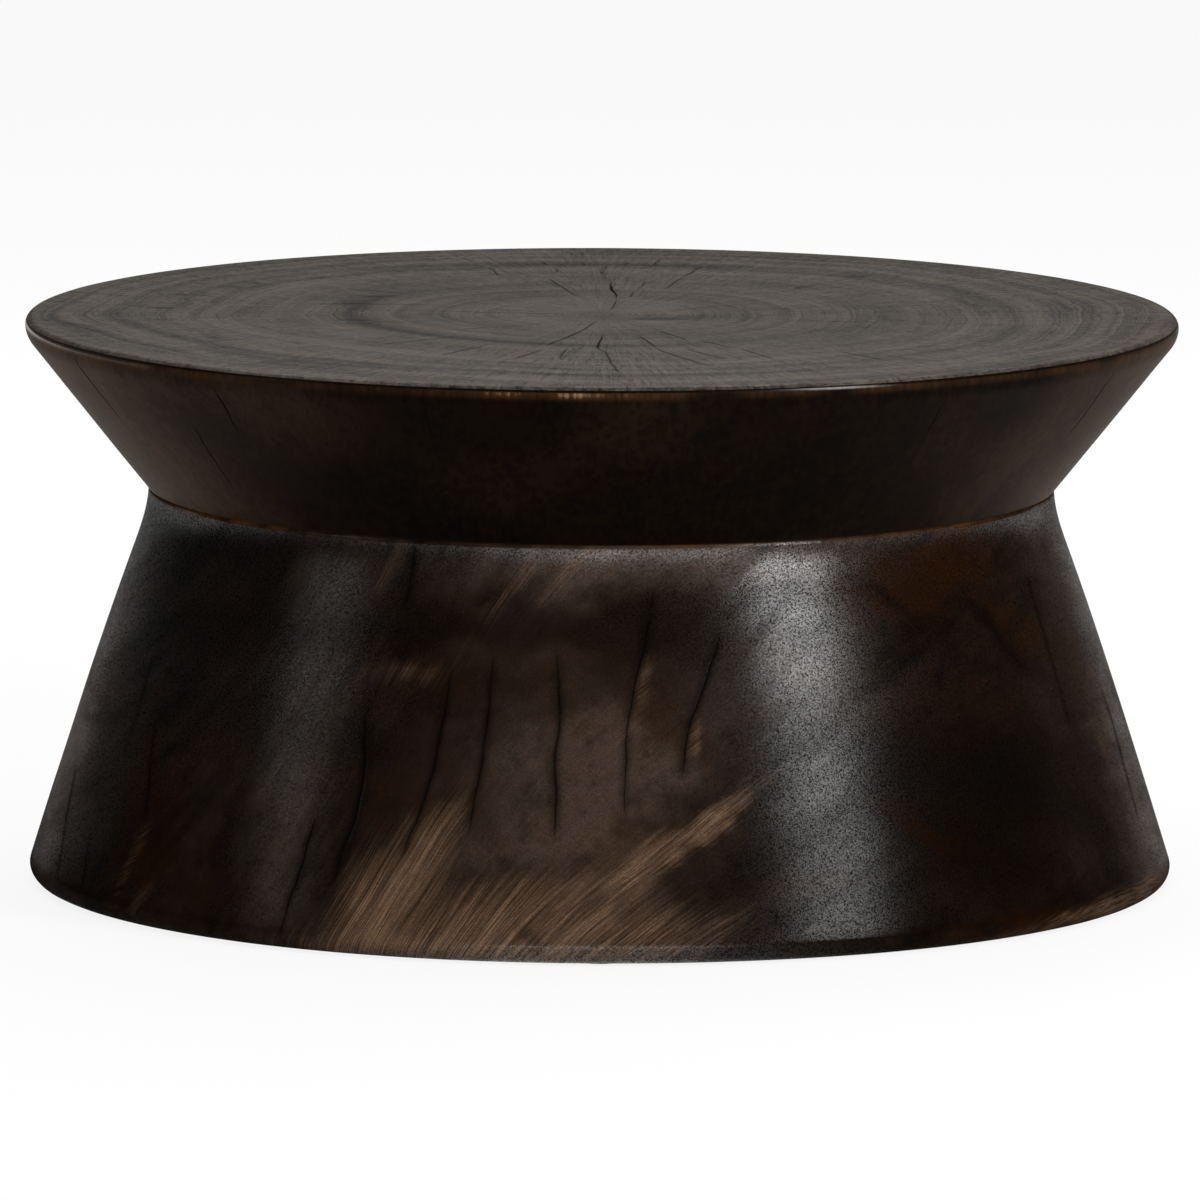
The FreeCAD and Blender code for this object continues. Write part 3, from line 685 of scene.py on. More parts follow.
# How bright the lacquer is along the rim: turns from the front, and the share at each.
RIM_SHINE_BY_TURN = [(-180, -90, -78, -54, -47, -24, -16, 24, 32, 180),
                     (.3, .5, 1.0, 1.0, .08, .08, 1.0, 1.0, .05, .3)]


def dress_top(mesh):
    """Stores ring distance, tone, check shade, the rim's wear and polish and the cone's painted
    flank sheen on the points."""
    points = points_of(mesh)
    x, y, z = points.T
    radius, turn = polar(x, y)
    run = top_run(radius, z)
    ring = top_ring(x, y)
    give(mesh, "ring", ring)
    give(mesh, "tone", top_tone(x, y, ring, turn))
    shade = check_shade(TOP_CHECKS, run, turn, radius, TOP_SEED, TOP_SWAY, 0.72, 0.8)
    # The checks' painted shade, stored as check.
    give(mesh, "check", shade * (z > Z_WAIST + 2.0))
    on_rim = radius > RIM - 24.0
    ahead = wrap(turn - FRONT)
    worn = 0.24 + 0.30 * bump(ahead + 2.0, 18.0) + 0.24 * bump(ahead - 28.0, 18.0)
    worn += 0.7 * bump(ahead + 5.0, 6.5) + 0.34 * bump(ahead + 62.0, 20.0)
    strip = fade(Z_TOP - z, 3.8, 5.0) * (1.0 - fade(Z_WIDEST - z, 0.0, 5.0)) * on_rim
    patchy = np.clip(0.62 + 0.5 * ripple(points, 60.0, 51), 0.0, 1.0)
    give(mesh, "rubbed", strip * worn * patchy)
    low = np.where(ahead < -50.0, -0.4, 0.8)
    kept = np.interp(ahead, *RIM_SHINE_BY_TURN)
    band = fade(Z_TOP - z, 3.2, 4.4) * np.clip((z - Z_WIDEST - low) / 1.6, 0.0, 1.0)
    give(mesh, "band", band * kept * on_rim)
    # Painted sheen: the cone turns paler brown towards its left and right as seen from the front,
    # fades out behind and stays near black over the rim's top.
    flank = fade(np.abs(ahead - 7.0), 32.0, 84.0)
    back = fade(np.abs(ahead), 86.0, 126.0)
    flank += 0.18 * ripple(points, 150.0, 53) - 0.75 * back
    give(mesh, "flank_sheen", np.clip(flank, 0.0, 1.0) * fade(Z_TOP - z, 3.0, 10.0))


def map_top(mesh):
    """Lays out the bake map: the disc as a plan, the rim and cone in four strips, two beside
    two, and the joint face as a small plan."""
    point, centre, _ = corner_arrays(mesh)
    across, _ = polar(centre[:, 0], centre[:, 1])
    level = centre[:, 2]
    is_side = (level < Z_TOP - 3.5) & (level > Z_WAIST + 0.2) & (across > 340.0)
    is_under = (level <= Z_WAIST + 40.0) & ~is_side
    strip, share = strip_uv(point, centre, 225.0, 4)
    drop = (Z_TOP + 2.0 - point[:, 2]) / (Z_TOP - Z_WAIST + 4.0)
    disc_u, disc_v = plan_uv(point, 0.325, 0.325, 0.31 / RIM)
    under_u, under_v = plan_uv(point, 0.85, 0.12, 0.085 / WAIST)
    side_u = MAP_EDGE + (strip % 2) * 0.495 + share * 0.478
    side_v = 0.985 - (strip // 2) * 0.165 - drop * 0.150
    set_uv(mesh, np.select([is_side, is_under], [side_u, under_u], disc_u),
           np.select([is_side, is_under], [side_v, under_v], disc_v))


# ---------------------------------------------------------------- lower section
def flare_radius(height):
    """Outer radius of the flare at a height.

    Two cubic pieces through the waist, the neck's cove and the foot: they leave the waist
    upright, run out at the foot along the straight taper, and share their direction and
    their bend at the cove.
    """
    drops = np.array([0.0, COVE_DROP, Z_WAIST - Z_FOOT])
    radii = WAIST + TAPER * drops - np.array([0.0, COVE_DEPTH, 0.0])
    knots = np.stack([radii, drops])
    first, second = np.hypot(*np.diff(knots))
    start = np.array([0.0, 1.0])
    end = np.array([TAPER, 1.0]) / math.hypot(TAPER, 1.0)
    pull = (knots[:, 1] - knots[:, 0]) / first ** 2 + (knots[:, 2] - knots[:, 1]) / second ** 2
    middle = (3.0 * pull - start / first - end / second) / (2.0 / first + 2.0 / second)
    t = np.linspace(0.0, 1.0, 120)[:, None]
    pieces = []
    for low, high, leave, arrive, span in (
            (knots[:, 0], knots[:, 1], start, middle, first),
            (knots[:, 1], knots[:, 2], middle, end, second)):
        pieces.append(low * (1 + 2 * t) * (1 - t) ** 2 + high * t * t * (3 - 2 * t)
                      + span * (leave * t * (1 - t) ** 2 - arrive * t * t * (1 - t)))
    radius, drop = np.concatenate(pieces).T
    return np.interp(Z_WAIST - height, drop, radius)


def base_profile():
    """Half-profile of the lower section from the recess floor out to the waist, down the flare,
    round the foot and up the hollow to the ceiling, and the limits of its outer and hollow
    rows."""
    face = [(CORE, Z_RECESS), (MID_ROW, Z_RECESS), (RECESS, Z_RECESS), (RECESS, Z_WAIST),
            (RECESS + 4.0, Z_WAIST), (WAIST - 8.0, Z_WAIST), (WAIST - ARRIS, Z_WAIST)]
    slope = math.atan(TAPER)
    foot_r = FOOT - FOOT_ROUND * math.tan(math.pi / 4 + slope / 2)
    foot = arc(foot_r, Z_FOOT + FOOT_ROUND, FOOT_ROUND, np.linspace(slope, -math.pi / 2, 11))
    flare_z = np.concatenate([np.linspace(Z_WAIST - ARRIS, Z_WAIST - 8.0, 4),
                              np.linspace(Z_WAIST - 12.0, foot[0][1] + 2.0, 58)])
    flare = list(zip(flare_radius(flare_z), flare_z))
    wall_slope = math.atan2(MOUTH - CEILING, Z_WEB - Z_FOOT)
    bevel = [(MOUTH + MOUTH_BEVEL, Z_FOOT), (MOUTH - MOUTH_BEVEL * math.sin(wall_slope),
                                             Z_FOOT + MOUTH_BEVEL * math.cos(wall_slope))]
    tangent = HOLLOW_FILLET * math.tan((math.pi / 2 - wall_slope) / 2)
    fillet = arc(CEILING - tangent, Z_WEB - HOLLOW_FILLET, HOLLOW_FILLET,
                 np.linspace(wall_slope, math.pi / 2, 8))
    wall = line(bevel[1], fillet[0], np.linspace(0.0, 1.0, 16)[1:-1])
    ceiling = [(240.0, Z_WEB), (MID_ROW, Z_WEB), (CORE, Z_WEB)]
    radius, height = np.array(face + flare + foot + bevel + wall + fillet + ceiling, float).T
    foot_end = len(face) + len(flare) + len(foot)
    return (radius, height, (len(face), foot_end - 2),
            (foot_end + 2, len(radius) - len(ceiling) - 3))


def make_base(props):
    """The lower section, with the checks in its outer skin, 0.28 of the half width times
    check_depth deep, and a turning tool's flutes, up to 0.8 mm deep, in its hollow."""
    radius, height, outer, hollow = base_profile()
    turn, open_width = checked_grid(BASE_CHECKS, props.base_columns, height,
                                    np.maximum(radius, 300.0), BASE_SEED, BASE_SWAY)
    row = np.arange(len(radius))
    is_outer = ((row > outer[0]) & (row < outer[1]))[:, None]
    is_hollow = ((row >= hollow[0]) & (row <= hollow[1]))[:, None]
    uneven = hand_ripple(turn, radius[:, None], height[:, None], 21)
    gouged = 0.5 + 0.5 * np.sin(height * 1.7)[:, None] * np.cos(np.radians(turn) * 3.0)
    ends = (fade(Z_WAIST - height, 0.0, 16.0) * 0.9 + 0.1)[:, None]
    sink = props.unevenness / MM * (uneven - 0.5) * ends * is_outer
    sink += 0.8 * gouged * is_hollow
    depth = 0.28 * open_width * props.check_depth * fade(open_width, 0.14, 0.42)
    piece = turned_piece("drum_base", radius, height, turn, sink + depth * is_outer,
                         profile_normals(radius, height), (Z_RECESS, Z_WEB))
    washer, glide = Z_WEB + WASHER_SEAT, Z_FOOT + GLIDE_SEAT
    bore(piece, [
        stepped_bores("bolt_bores", spots("joint_bolt"), [
            (BOLT_BORE, Z_WAIST + OVERCUT), (BOLT_BORE, washer), (WASHER_BORE, washer),
            (WASHER_BORE, Z_WEB - 2.0 * OVERCUT)]),
        stepped_bores("dowel_bores", spots("locating_dowel"), [
            (DOWEL_BORE, Z_WAIST + OVERCUT), (DOWEL_BORE, Z_WAIST - DOWEL_DEPTH)]),
        stepped_bores("glide_bores", spots("glide_cup"), [
            (SCREW_BORE, Z_FOOT + SCREW_DEPTH), (SCREW_BORE, glide), (GLIDE_BORE, glide),
            (GLIDE_BORE, Z_FOOT - OVERCUT)]),
    ])
    dress_base(piece.data)
    map_base(piece.data)
    return piece


# The stain's figure: turn from the front, height, half length, half width, lean in degrees
# (0 runs level, 90 upright), and strength. Turns are positive towards +X.
GOLD = [
    (-23, 38, 64, 26, 56, .78), (-13, 30, 90, 24, 14, .62), (0, 24, 90, 20, 4, .52),
    (9.5, 97, 54, 7, 34, .75), (4, 80, 26, 6, 40, .50), (-18, 76, 44, 14, 60, .42),
    (-14, 10, 110, 8, 0, .40), (-23, 213, 40, 9, 8, .18), (-10, 288, 44, 8, 56, .28),
    (-4, 292, 40, 7, 52, .27), (-27, 290, 34, 8, 60, .15), (5, 212, 20, 6, 70, .30),
    (10, 168, 16, 6, 66, .36), (3, 176, 14, 6, 66, .20), (57, 8, 100, 7, 2, .38),
    (72, 14, 70, 9, 0, .24), (-56, 46, 40, 7, 78, .14), (-52, 24, 24, 7, 70, .15),
    (2, 60, 30, 6, 50, .26),
]
RUST = [
    (45, 284, 110, 26, 2, .95), (36, 262, 60, 14, -14, .6), (58, 228, 60, 16, -24, .7),
    (-17, 214, 60, 18, 8, .55), (7, 200, 22, 40, 70, .45), (38, 86, 70, 10, -26, .9),
    (-54, 60, 60, 30, 70, .8), (-58, 120, 60, 24, 80, .4), (-44, 40, 50, 20, 0, .5),
    (48, 9, 110, 12, 0, .8), (-34, 200, 60, 40, 20, .35), (-70, 20, 60, 16, 0, .4),
    (10, 168, 14, 30, 70, .5), (72, 200, 40, 60, 80, .5), (-2, 14, 90, 8, 0, .4),
    (46, 184, 70, 30, -4, .36), (-22, 120, 30, 60, 70, .5), (-6, 60, 40, 10, 40, .3),
    (16, 54, 60, 12, 8, .5),
]
DARK = [
    (-62, 292, 160, 18, 0, .9), (-48, 236, 130, 22, 8, .55), (-44, 170, 70, 26, 0, .4),
    (-10, 250, 110, 13, 6, .60), (6, 236, 60, 16, 10, .45), (47, 124, 90, 42, -6, 1.0),
    (54, 226, 66, 9, -34, .9), (40, 254, 60, 8, -30, .7), (14, 72, 60, 34, 24, .85),
    (28, 44, 50, 26, 0, .6), (-41, 80, 60, 14, 84, .60), (16, 206, 22, 44, 90, .55),
    (62, 80, 60, 26, -20, .6), (-70, 130, 50, 50, 0, .3), (-58, 66, 36, 26, 70, .4),
    (34, 150, 40, 50, 0, .25), (44, 60, 70, 26, -20, .8), (-25, 160, 20, 70, 84, .45),
    (11, 126, 26, 14, 40, .40), (-14, 118, 14, 36, 70, .25), (-4, 196, 60, 10, 10, .30),
    (-7, 20, 12, 10, 50, .40),
]
# Pale patches, the same way. Most are thinly stained grain; the upright bells at the flanks, near
# -78 and -46 on the left and from 60 to 79 on the right, the one under the left highlight near -34
# and the level band just under the waist at the front are painted sheen.
PALE_AND_SHEEN = [
    (-2, 168, 100, 58, 4, .62), (-16, 120, 60, 50, 20, .30), (-34, 276, 40, 30, 40, .40),
    (-3, 284, 84, 22, 30, .55), (24, 210, 40, 60, 70, .3), (1, 130, 46, 56, 90, .85),
    (2, 56, 90, 34, 8, .62), (-8, 98, 56, 24, 10, .40), (2, 302, 120, 18, 0, .85),
    (24, 296, 60, 22, 0, .5), (-78, 150, 150, 60, 90, .35), (79, 160, 160, 60, 90, .62),
    (22, 58, 40, 12, 10, .4), (-34, 90, 120, 30, 90, .50), (12, 190, 40, 40, 60, .30),
    (-9, 226, 50, 8, 8, .30), (-10, 84, 40, 22, 20, .30), (-46, 90, 130, 36, 90, .16),
    (60, 92, 110, 30, 90, .14), (71, 160, 150, 26, 90, .16), (-14, 294, 60, 14, 20, .40),
]


def patches(table, turn, height, radius):
    """Bells on the unrolled skin, each stretched along its own lean, added up."""
    total = np.zeros(len(turn))
    for middle, level, length, width, lean, strength in table:
        sideways = wrap(turn - FRONT - middle) * math.pi / 180.0 * radius
        total += strength * leaning_bump(sideways, height - level, lean, length, width)
    return total


def scattered(seed, count, strength, sizes):
    """More patches of one kind, drawn at random round the far side of the table."""
    rng = np.random.default_rng(seed)
    return [(middle, level, length, width, lean, strength * share)
            for middle, level, length, width, lean, share in zip(
                rng.uniform(88.0, 272.0, count), rng.uniform(16.0, 300.0, count),
                rng.uniform(sizes[0], sizes[1], count), rng.uniform(sizes[2], sizes[3], count),
                rng.uniform(-50.0, 20.0, count), rng.uniform(0.5, 1.0, count))]


# How well the lacquer is rubbed up: heights, and the share of full polish at each.
POLISH_BY_HEIGHT = [(0, 90, 130, 165, 210, 240, 268, 314),
                    (.60, .55, .74, .78, 1.06, .86, 1.02, 1.02)]


def strand_level(turn, height):
    """Which strand of grain a point lies on: its height less a curve round the table, so that
    points of one value lie on one strand. The curve's slope is a cosine and a bell that makes
    it steep left of the front, less its mean, so that it closes on itself."""
    angle = np.radians(np.arange(-180, 181))
    slope = 0.78 * np.cos(angle + 0.16) + 1.35 * np.exp(14.0 * (np.cos(angle + 0.52) - 1.0))
    slope -= slope[:-1].mean()
    rise = np.concatenate([[0.0], np.cumsum(slope[:-1])]) * math.radians(1.0)
    return height - 440.0 * np.interp(np.radians(wrap(turn - FRONT)), angle, rise)


def dress_base(mesh):
    """Stores the stain's figure, with painted sheen among its pale patches, the strands, the checks'
    painted shade, the rubbed edges, the hollow and the lacquer's polish on the points."""
    points = points_of(mesh)
    x, y, z = points.T
    radius, turn = polar(x, y)
    outside = (radius > flare_radius(z) - 12.0).astype(float)
    warped = turn + 1.6 * ripple(points, 60.0, 61) + 1.1 * ripple(points, 26.0, 62)
    level = z + 8.0 * ripple(points, 70.0, 63) + 4.0 * ripple(points, 24.0, 64)
    tables = {
        "gold": GOLD + scattered(71, 14, 0.46, (36, 96, 9, 22)),
        "rust": RUST + scattered(72, 20, 0.6, (40, 110, 14, 34)),
        "dark": DARK + scattered(73, 26, 0.9, (50, 130, 18, 44)),
        "pale": PALE_AND_SHEEN + scattered(74, 12, 0.6, (60, 140, 30, 70)),
    }
    for name, table in tables.items():
        share = 0.35 if name == "gold" else 1.0
        moved = (turn + share * (warped - turn), z + share * (level - z))
        give(mesh, name, np.clip(patches(table, *moved, radius), 0.0, 1.2) * outside)
    wave = 3.0 * ripple(points, 190.0, 66) + 1.1 * ripple(points, 52.0, 67)
    give(mesh, "strand", strand_level(turn, z) + wave)
    shade = check_shade(BASE_CHECKS, z, turn, radius, BASE_SEED, BASE_SWAY, 0.92, 3.5)
    # The checks' painted shade, stored as check.
    give(mesh, "check", shade * outside)
    ahead = wrap(turn - FRONT)
    worn = 0.30 + 0.7 * bump(ahead + 60.0, 24.0) + 0.6 * bump(ahead - 9.0, 9.0)
    worn += 0.5 * bump(ahead - 48.0, 16.0)
    arris = bump(z - (Z_WAIST - 0.5), 2.4) * np.clip(0.7 + 0.5 * ripple(points, 50.0, 65), 0, 1)
    give(mesh, "rubbed", arris * worn * outside)
    give(mesh, "hollow", 1.0 - outside)
    neck = 1.2 * fade(z, 270.0, 300.0) * (1.0 - fade(np.abs(ahead - 6.0), 24.0, 44.0))
    neck *= 1.0 - 0.64 * bump(ahead - 24.0, 12.0)
    beside = fade(np.abs(ahead), 66.0, 82.0) * (1.0 - fade(np.abs(ahead), 110.0, 140.0))
    beside *= np.where(ahead < 0.0, 0.60, 0.38)
    beside -= 0.45 * bump(ahead + 70.0, 6.0) * bump(z - 240.0, 40.0)
    foot = fade(26.0 - z, 0.0, 12.0)
    ahead_foot = bump(ahead, 19.0)
    shine = np.interp(z, *POLISH_BY_HEIGHT) * (1.0 + neck) * (1.0 - beside)
    shine *= 1.0 - bump(ahead + 37.0, 13.0) * (0.12 + 0.20 * fade(z, 190.0, 250.0))
    shine *= 1.0 + 0.70 * bump(ahead - 19.0, 9.0) * fade(z, 240.0, 280.0)
    shine *= 1.0 - 0.8 * bump(z - Z_WAIST + 0.5, 2.4)
    shine *= 1.0 - 0.85 * foot * (1.0 - ahead_foot)
    give(mesh, "shine", shine * (1.0 + 2.6 * foot * ahead_foot))


def map_base(mesh):
    """Lays out the bake map: the outer skin in three strips, the hollow's wall in a narrow one
    and the level faces as small plans."""
    point, centre, normal = corner_arrays(mesh)
    across, _ = polar(centre[:, 0], centre[:, 1])
    level = centre[:, 2]
    is_skin = (across > flare_radius(level) - 14.0) & (normal[:, 2] > -0.6)
    is_skin &= level < Z_WAIST - 0.1
    is_wall = (level < Z_WEB - 6.0) & (level > Z_FOOT + 4.6) & (across > 270.0) & ~is_skin
    strip, share = strip_uv(point, centre, 210.0, 3)
    _, whole = strip_uv(point, centre, 210.0, 1)
    rise = (point[:, 2] - Z_FOOT) / (Z_WAIST - Z_FOOT)
    shelf = np.select([level < Z_FOOT + 30.0, level < Z_WEB + 8.0], [0.12, 0.26], 0.40)
    plan_u, plan_v = plan_uv(point, 0.944, shelf, 0.052 / FOOT)
    skin_v = MAP_EDGE + strip * 0.306 + rise * 0.292
    set_uv(mesh, np.select([is_skin, is_wall], [MAP_EDGE + share * 0.868,
                                                MAP_EDGE + whole * 0.86], plan_u),
           np.select([is_skin, is_wall], [skin_v, 0.936 + rise * 0.062], plan_v))


# ---------------------------------------------------------------- material graphs
class Finish:
    """A material's node graph. Each method adds a node and returns the output it is read from."""

    def __init__(self, name):
        self.material = bpy.data.materials.new(name)
        self.material.use_nodes = True
        self.tree = self.material.node_tree
        self.tree.nodes.clear()
        self.output = self.tree.nodes.new("ShaderNodeOutputMaterial")
        self.place = self.tree.nodes.new("ShaderNodeTexCoord").outputs["Object"]

    def feed(self, socket, value):
        if isinstance(value, bpy.types.NodeSocket):
            self.tree.links.new(value, socket)
        elif socket.type == "RGBA" and len(value) == 3:
            socket.default_value = (*value, 1.0)
        else:
            socket.default_value = value

    def node(self, kind, **sockets):
        node = self.tree.nodes.new(kind)
        for name, value in sockets.items():
            self.feed(node.inputs[name.replace("_", " ")], value)
        return node

    def filled(self, kind, values):
        """A node whose inputs take the values in order."""
        node = self.tree.nodes.new(kind)
        for socket, value in zip(node.inputs, values):
            self.feed(socket, value)
        return node

    def math(self, operation, *values, clamp=False):
        node = self.filled("ShaderNodeMath", values)
        node.operation = operation
        node.use_clamp = clamp
        return node.outputs[0]

    def vector(self, operation, *values):
        node = self.filled("ShaderNodeVectorMath", values)
        node.operation = operation
        return node.outputs[0]

    def chain(self, operation, values, clamp):
        """The operation carried on from value to value. Only the last node clamps to 0 to 1."""
        result = values[0]
        for count, value in enumerate(values[1:], 2):
            result = self.math(operation, result, value, clamp=clamp and count == len(values))
        return result

    def total(self, *values, clamp=False):
        return self.chain("ADD", values, clamp)

    def product(self, *values, clamp=False):
        return self.chain("MULTIPLY", values, clamp)

    def swing(self, noise, weight):
        """How far a noise is from its middle, times the weight."""
        return self.product(self.math("SUBTRACT", noise, 0.5), weight)

    def rest(self, value, clamp=False):
        """What a value lacks of 1."""
        return self.math("SUBTRACT", 1.0, value, clamp=clamp)

    def stretched(self, scale, source=None):
        """Coordinates scaled separately along x, y and z."""
        return self.vector("MULTIPLY", self.place if source is None else source, scale)

    def upright(self, value):
        """A vector that stands along z and is as long as the value."""
        return self.node("ShaderNodeCombineXYZ", Z=value).outputs[0]

    def noise(self, vector, scale, detail=3.0, roughness=0.5, distortion=0.0):
        node = self.node("ShaderNodeTexNoise", Vector=vector, Scale=scale, Detail=detail,
                         Roughness=roughness, Distortion=distortion)
        return node.outputs[0]

    def grain(self, scale, detail, roughness, distortion=0.0):
        """Noise with a scale of its own along each of x, y and z, in waves to the metre."""
        return self.noise(self.stretched(scale), 1.0, detail, roughness, distortion)

    def line_noise(self, value, scale, detail=3.0, roughness=0.5):
        """Noise that changes along one number only."""
        node = self.tree.nodes.new("ShaderNodeTexNoise")
        node.noise_dimensions = "1D"
        settings = {"W": value, "Scale": scale, "Detail": detail, "Roughness": roughness}
        for name, setting in settings.items():
            self.feed(node.inputs[name], setting)
        return node.outputs[0]

    def stored(self, name):
        """A number stored on the mesh's points."""
        node = self.tree.nodes.new("ShaderNodeAttribute")
        node.attribute_name = name
        return node.outputs["Fac"]

    def spread(self, value, low, high, to_low=0.0, to_high=1.0):
        """Stretches the range low to high over to_low to to_high, and holds it inside."""
        values = (value, low, high, to_low, to_high)
        return self.filled("ShaderNodeMapRange", values).outputs[0]

    def mix(self, share, first, second):
        """One colour turning into another as the share goes from 0 to 1."""
        node = self.tree.nodes.new("ShaderNodeMix")
        node.data_type = "RGBA"
        self.feed(node.inputs["Factor"], share)
        self.feed(node.inputs[6], first)
        self.feed(node.inputs[7], second)
        return node.outputs[2]

    def layered(self, ground, *layers):
        """Colours laid one over another, each over its own share of what lies under it."""
        for share, layer in layers:
            ground = self.mix(share, ground, layer)
        return ground

    def relief(self, height, distance, under=None):
        """Bumps of a height of about the distance, in metres, over those given before."""
        node = self.node("ShaderNodeBump", Height=height, Distance=distance, Strength=1.0)
        if under is not None:
            self.feed(node.inputs["Normal"], under)
        return node.outputs[0]

    def surface(self, colour, roughness, normal=None, level=0.5, coat=0.0, **settings):
        shader = self.node("ShaderNodeBsdfPrincipled", Base_Color=colour, Roughness=roughness,
                           Specular_IOR_Level=level, Coat_Weight=coat)
        if normal is not None:
            self.feed(shader.inputs["Normal"], normal)
            self.feed(shader.inputs["Coat Normal"], normal)
        for name, value in settings.items():
            shader.inputs[name.replace("_", " ")].default_value = value
        self.tree.links.new(shader.outputs[0], self.output.inputs["Surface"])
        return self.material


def shaded(tint, share):
    """A colour with each of its parts times the share."""
    return tuple(share * part for part in tint)


def end_grain(colours):
    """Dark stained end grain: growth rings, fine rays, checks and hair checks darkened by painted
    shade, flecks and pores under a grey satin sheen."""
    f = Finish("end_grain_espresso")
    ring, tone, check = f.stored("ring"), f.stored("tone"), f.stored("check")
    bent = f.total(ring, f.product(f.noise(f.place, 38.0, 3.0, 0.55), 9.0))
    broad = f.line_noise(bent, 0.085, 3.0, 0.6)
    fine = f.line_noise(bent, 0.42, 4.0, 0.7)
    flat = f.stretched((1.0, 1.0, 0.0))
    way = f.vector("NORMALIZE", flat)
    wedge = f.vector("ADD", f.stretched((70.0, 70.0, 70.0), way), f.stretched((7.0, 7.0, 0.0), flat))
    ray = f.noise(wedge, 1.0, 3.0, 0.6)
    hair = f.spread(f.math("ABSOLUTE", f.math("SUBTRACT", ray, 0.5)), 0.0, 0.012, 1.0, 0.0)
    round_and_out = f.vector("ADD", f.stretched((84.0, 84.0, 0.0), way),
                             f.upright(f.product(bent, 0.20)))
    fleck = f.noise(round_and_out, 1.0, 5.0, 0.74)
    pore = f.noise(f.place, 850.0, 3.0, 0.62)
    speck = f.spread(pore, 0.52, 0.66)
    blot = f.noise(f.place, 11.0, 4.0, 0.6)
    depth = f.total(f.swing(fine, 1.4), f.swing(broad, 0.85), f.swing(blot, 0.55),
                    f.swing(ray, 0.55), f.swing(fleck, 2.8), f.product(speck, 0.22), tone,
                    clamp=True)
    # Painted shade in the checks and the hair checks.
    shade = f.math("MAXIMUM", check, f.product(hair, 0.5))
    wood = f.layered(colours.end_grain_pale, (depth, colours.end_grain_deep),
                     (shade, colours.check_shade_black))
    gloss = f.total(0.36, f.product(fine, 0.16), f.product(tone, 0.05), f.product(speck, 0.08),
                    f.product(shade, 0.3), clamp=True)
    normal = f.relief(fine, 0.00022)
    normal = f.relief(fleck, 0.00016, normal)
    normal = f.relief(pore, 0.00010, normal)
    normal = f.relief(f.rest(hair), 0.00016, normal)
    return f.surface(wood, gloss, normal, colours.top_gloss)


def cone_grain(colours):
    """Near black long grain of the rim and cone, flecked, with a painted sheen of paler brown at the
    flanks, rubbed ticks, painted shade in the checks and a polished band round the rim."""
    f = Finish("cone_espresso")
    check, rubbed = f.stored("check"), f.stored("rubbed")
    band, flank_sheen = f.stored("band"), f.stored("flank_sheen")
    grain = f.grain((210.0, 210.0, 12.0), 4.0, 0.6)
    cloud = f.grain((6.0, 6.0, 9.0), 3.0, 0.55)
    blotch = f.grain((22.0, 22.0, 13.0), 4.0, 0.62, 0.8)
    fleck = f.grain((170.0, 170.0, 64.0), 4.0, 0.66, 0.6)
    tick = f.grain((260.0, 260.0, 20.0), 2.0, 0.5)
    tone = f.total(f.product(grain, 0.75), f.spread(cloud, 0.35, 0.65, -0.35, 0.4),
                   f.spread(fleck, 0.30, 0.70, -1.20, 1.20),
                   f.spread(blotch, 0.36, 0.64, -0.35, 0.45), clamp=True)
    # Painted sheen: the paler brown laid over the flanks, textured by the grain.
    figure = f.product(flank_sheen, f.total(0.55, f.product(grain, 0.8)),
                       f.spread(blotch, 0.34, 0.66, 0.74, 1.22),
                       f.spread(fleck, 0.34, 0.66, 0.64, 1.36), clamp=True)
    worn = f.product(rubbed, f.spread(tick, 0.30, 0.62, 0.40, 1.0), clamp=True)
    wood = f.layered(colours.cone_deep, (tone, colours.cone_brown), (figure, colours.cone_flank_sheen),
                     (worn, colours.rubbed_edge),
                     (f.spread(worn, 0.45, 1.0, 0.0, 0.8), colours.base_gold),
                     (check, colours.check_shade_black))
    gloss = f.total(0.42, f.product(grain, 0.16), f.product(check, 0.3), clamp=True)
    polish = f.product(band, f.total(0.45, f.product(tick, 0.7)))
    return f.surface(wood, gloss, f.relief(grain, 0.00008), colours.cone_gloss, polish,
                     Coat_Roughness=0.16, Coat_IOR=1.5, Sheen_Weight=colours.cone_sheen,
                     Sheen_Roughness=0.45, Sheen_Tint=(0.85, 0.58, 0.42, 1.0))


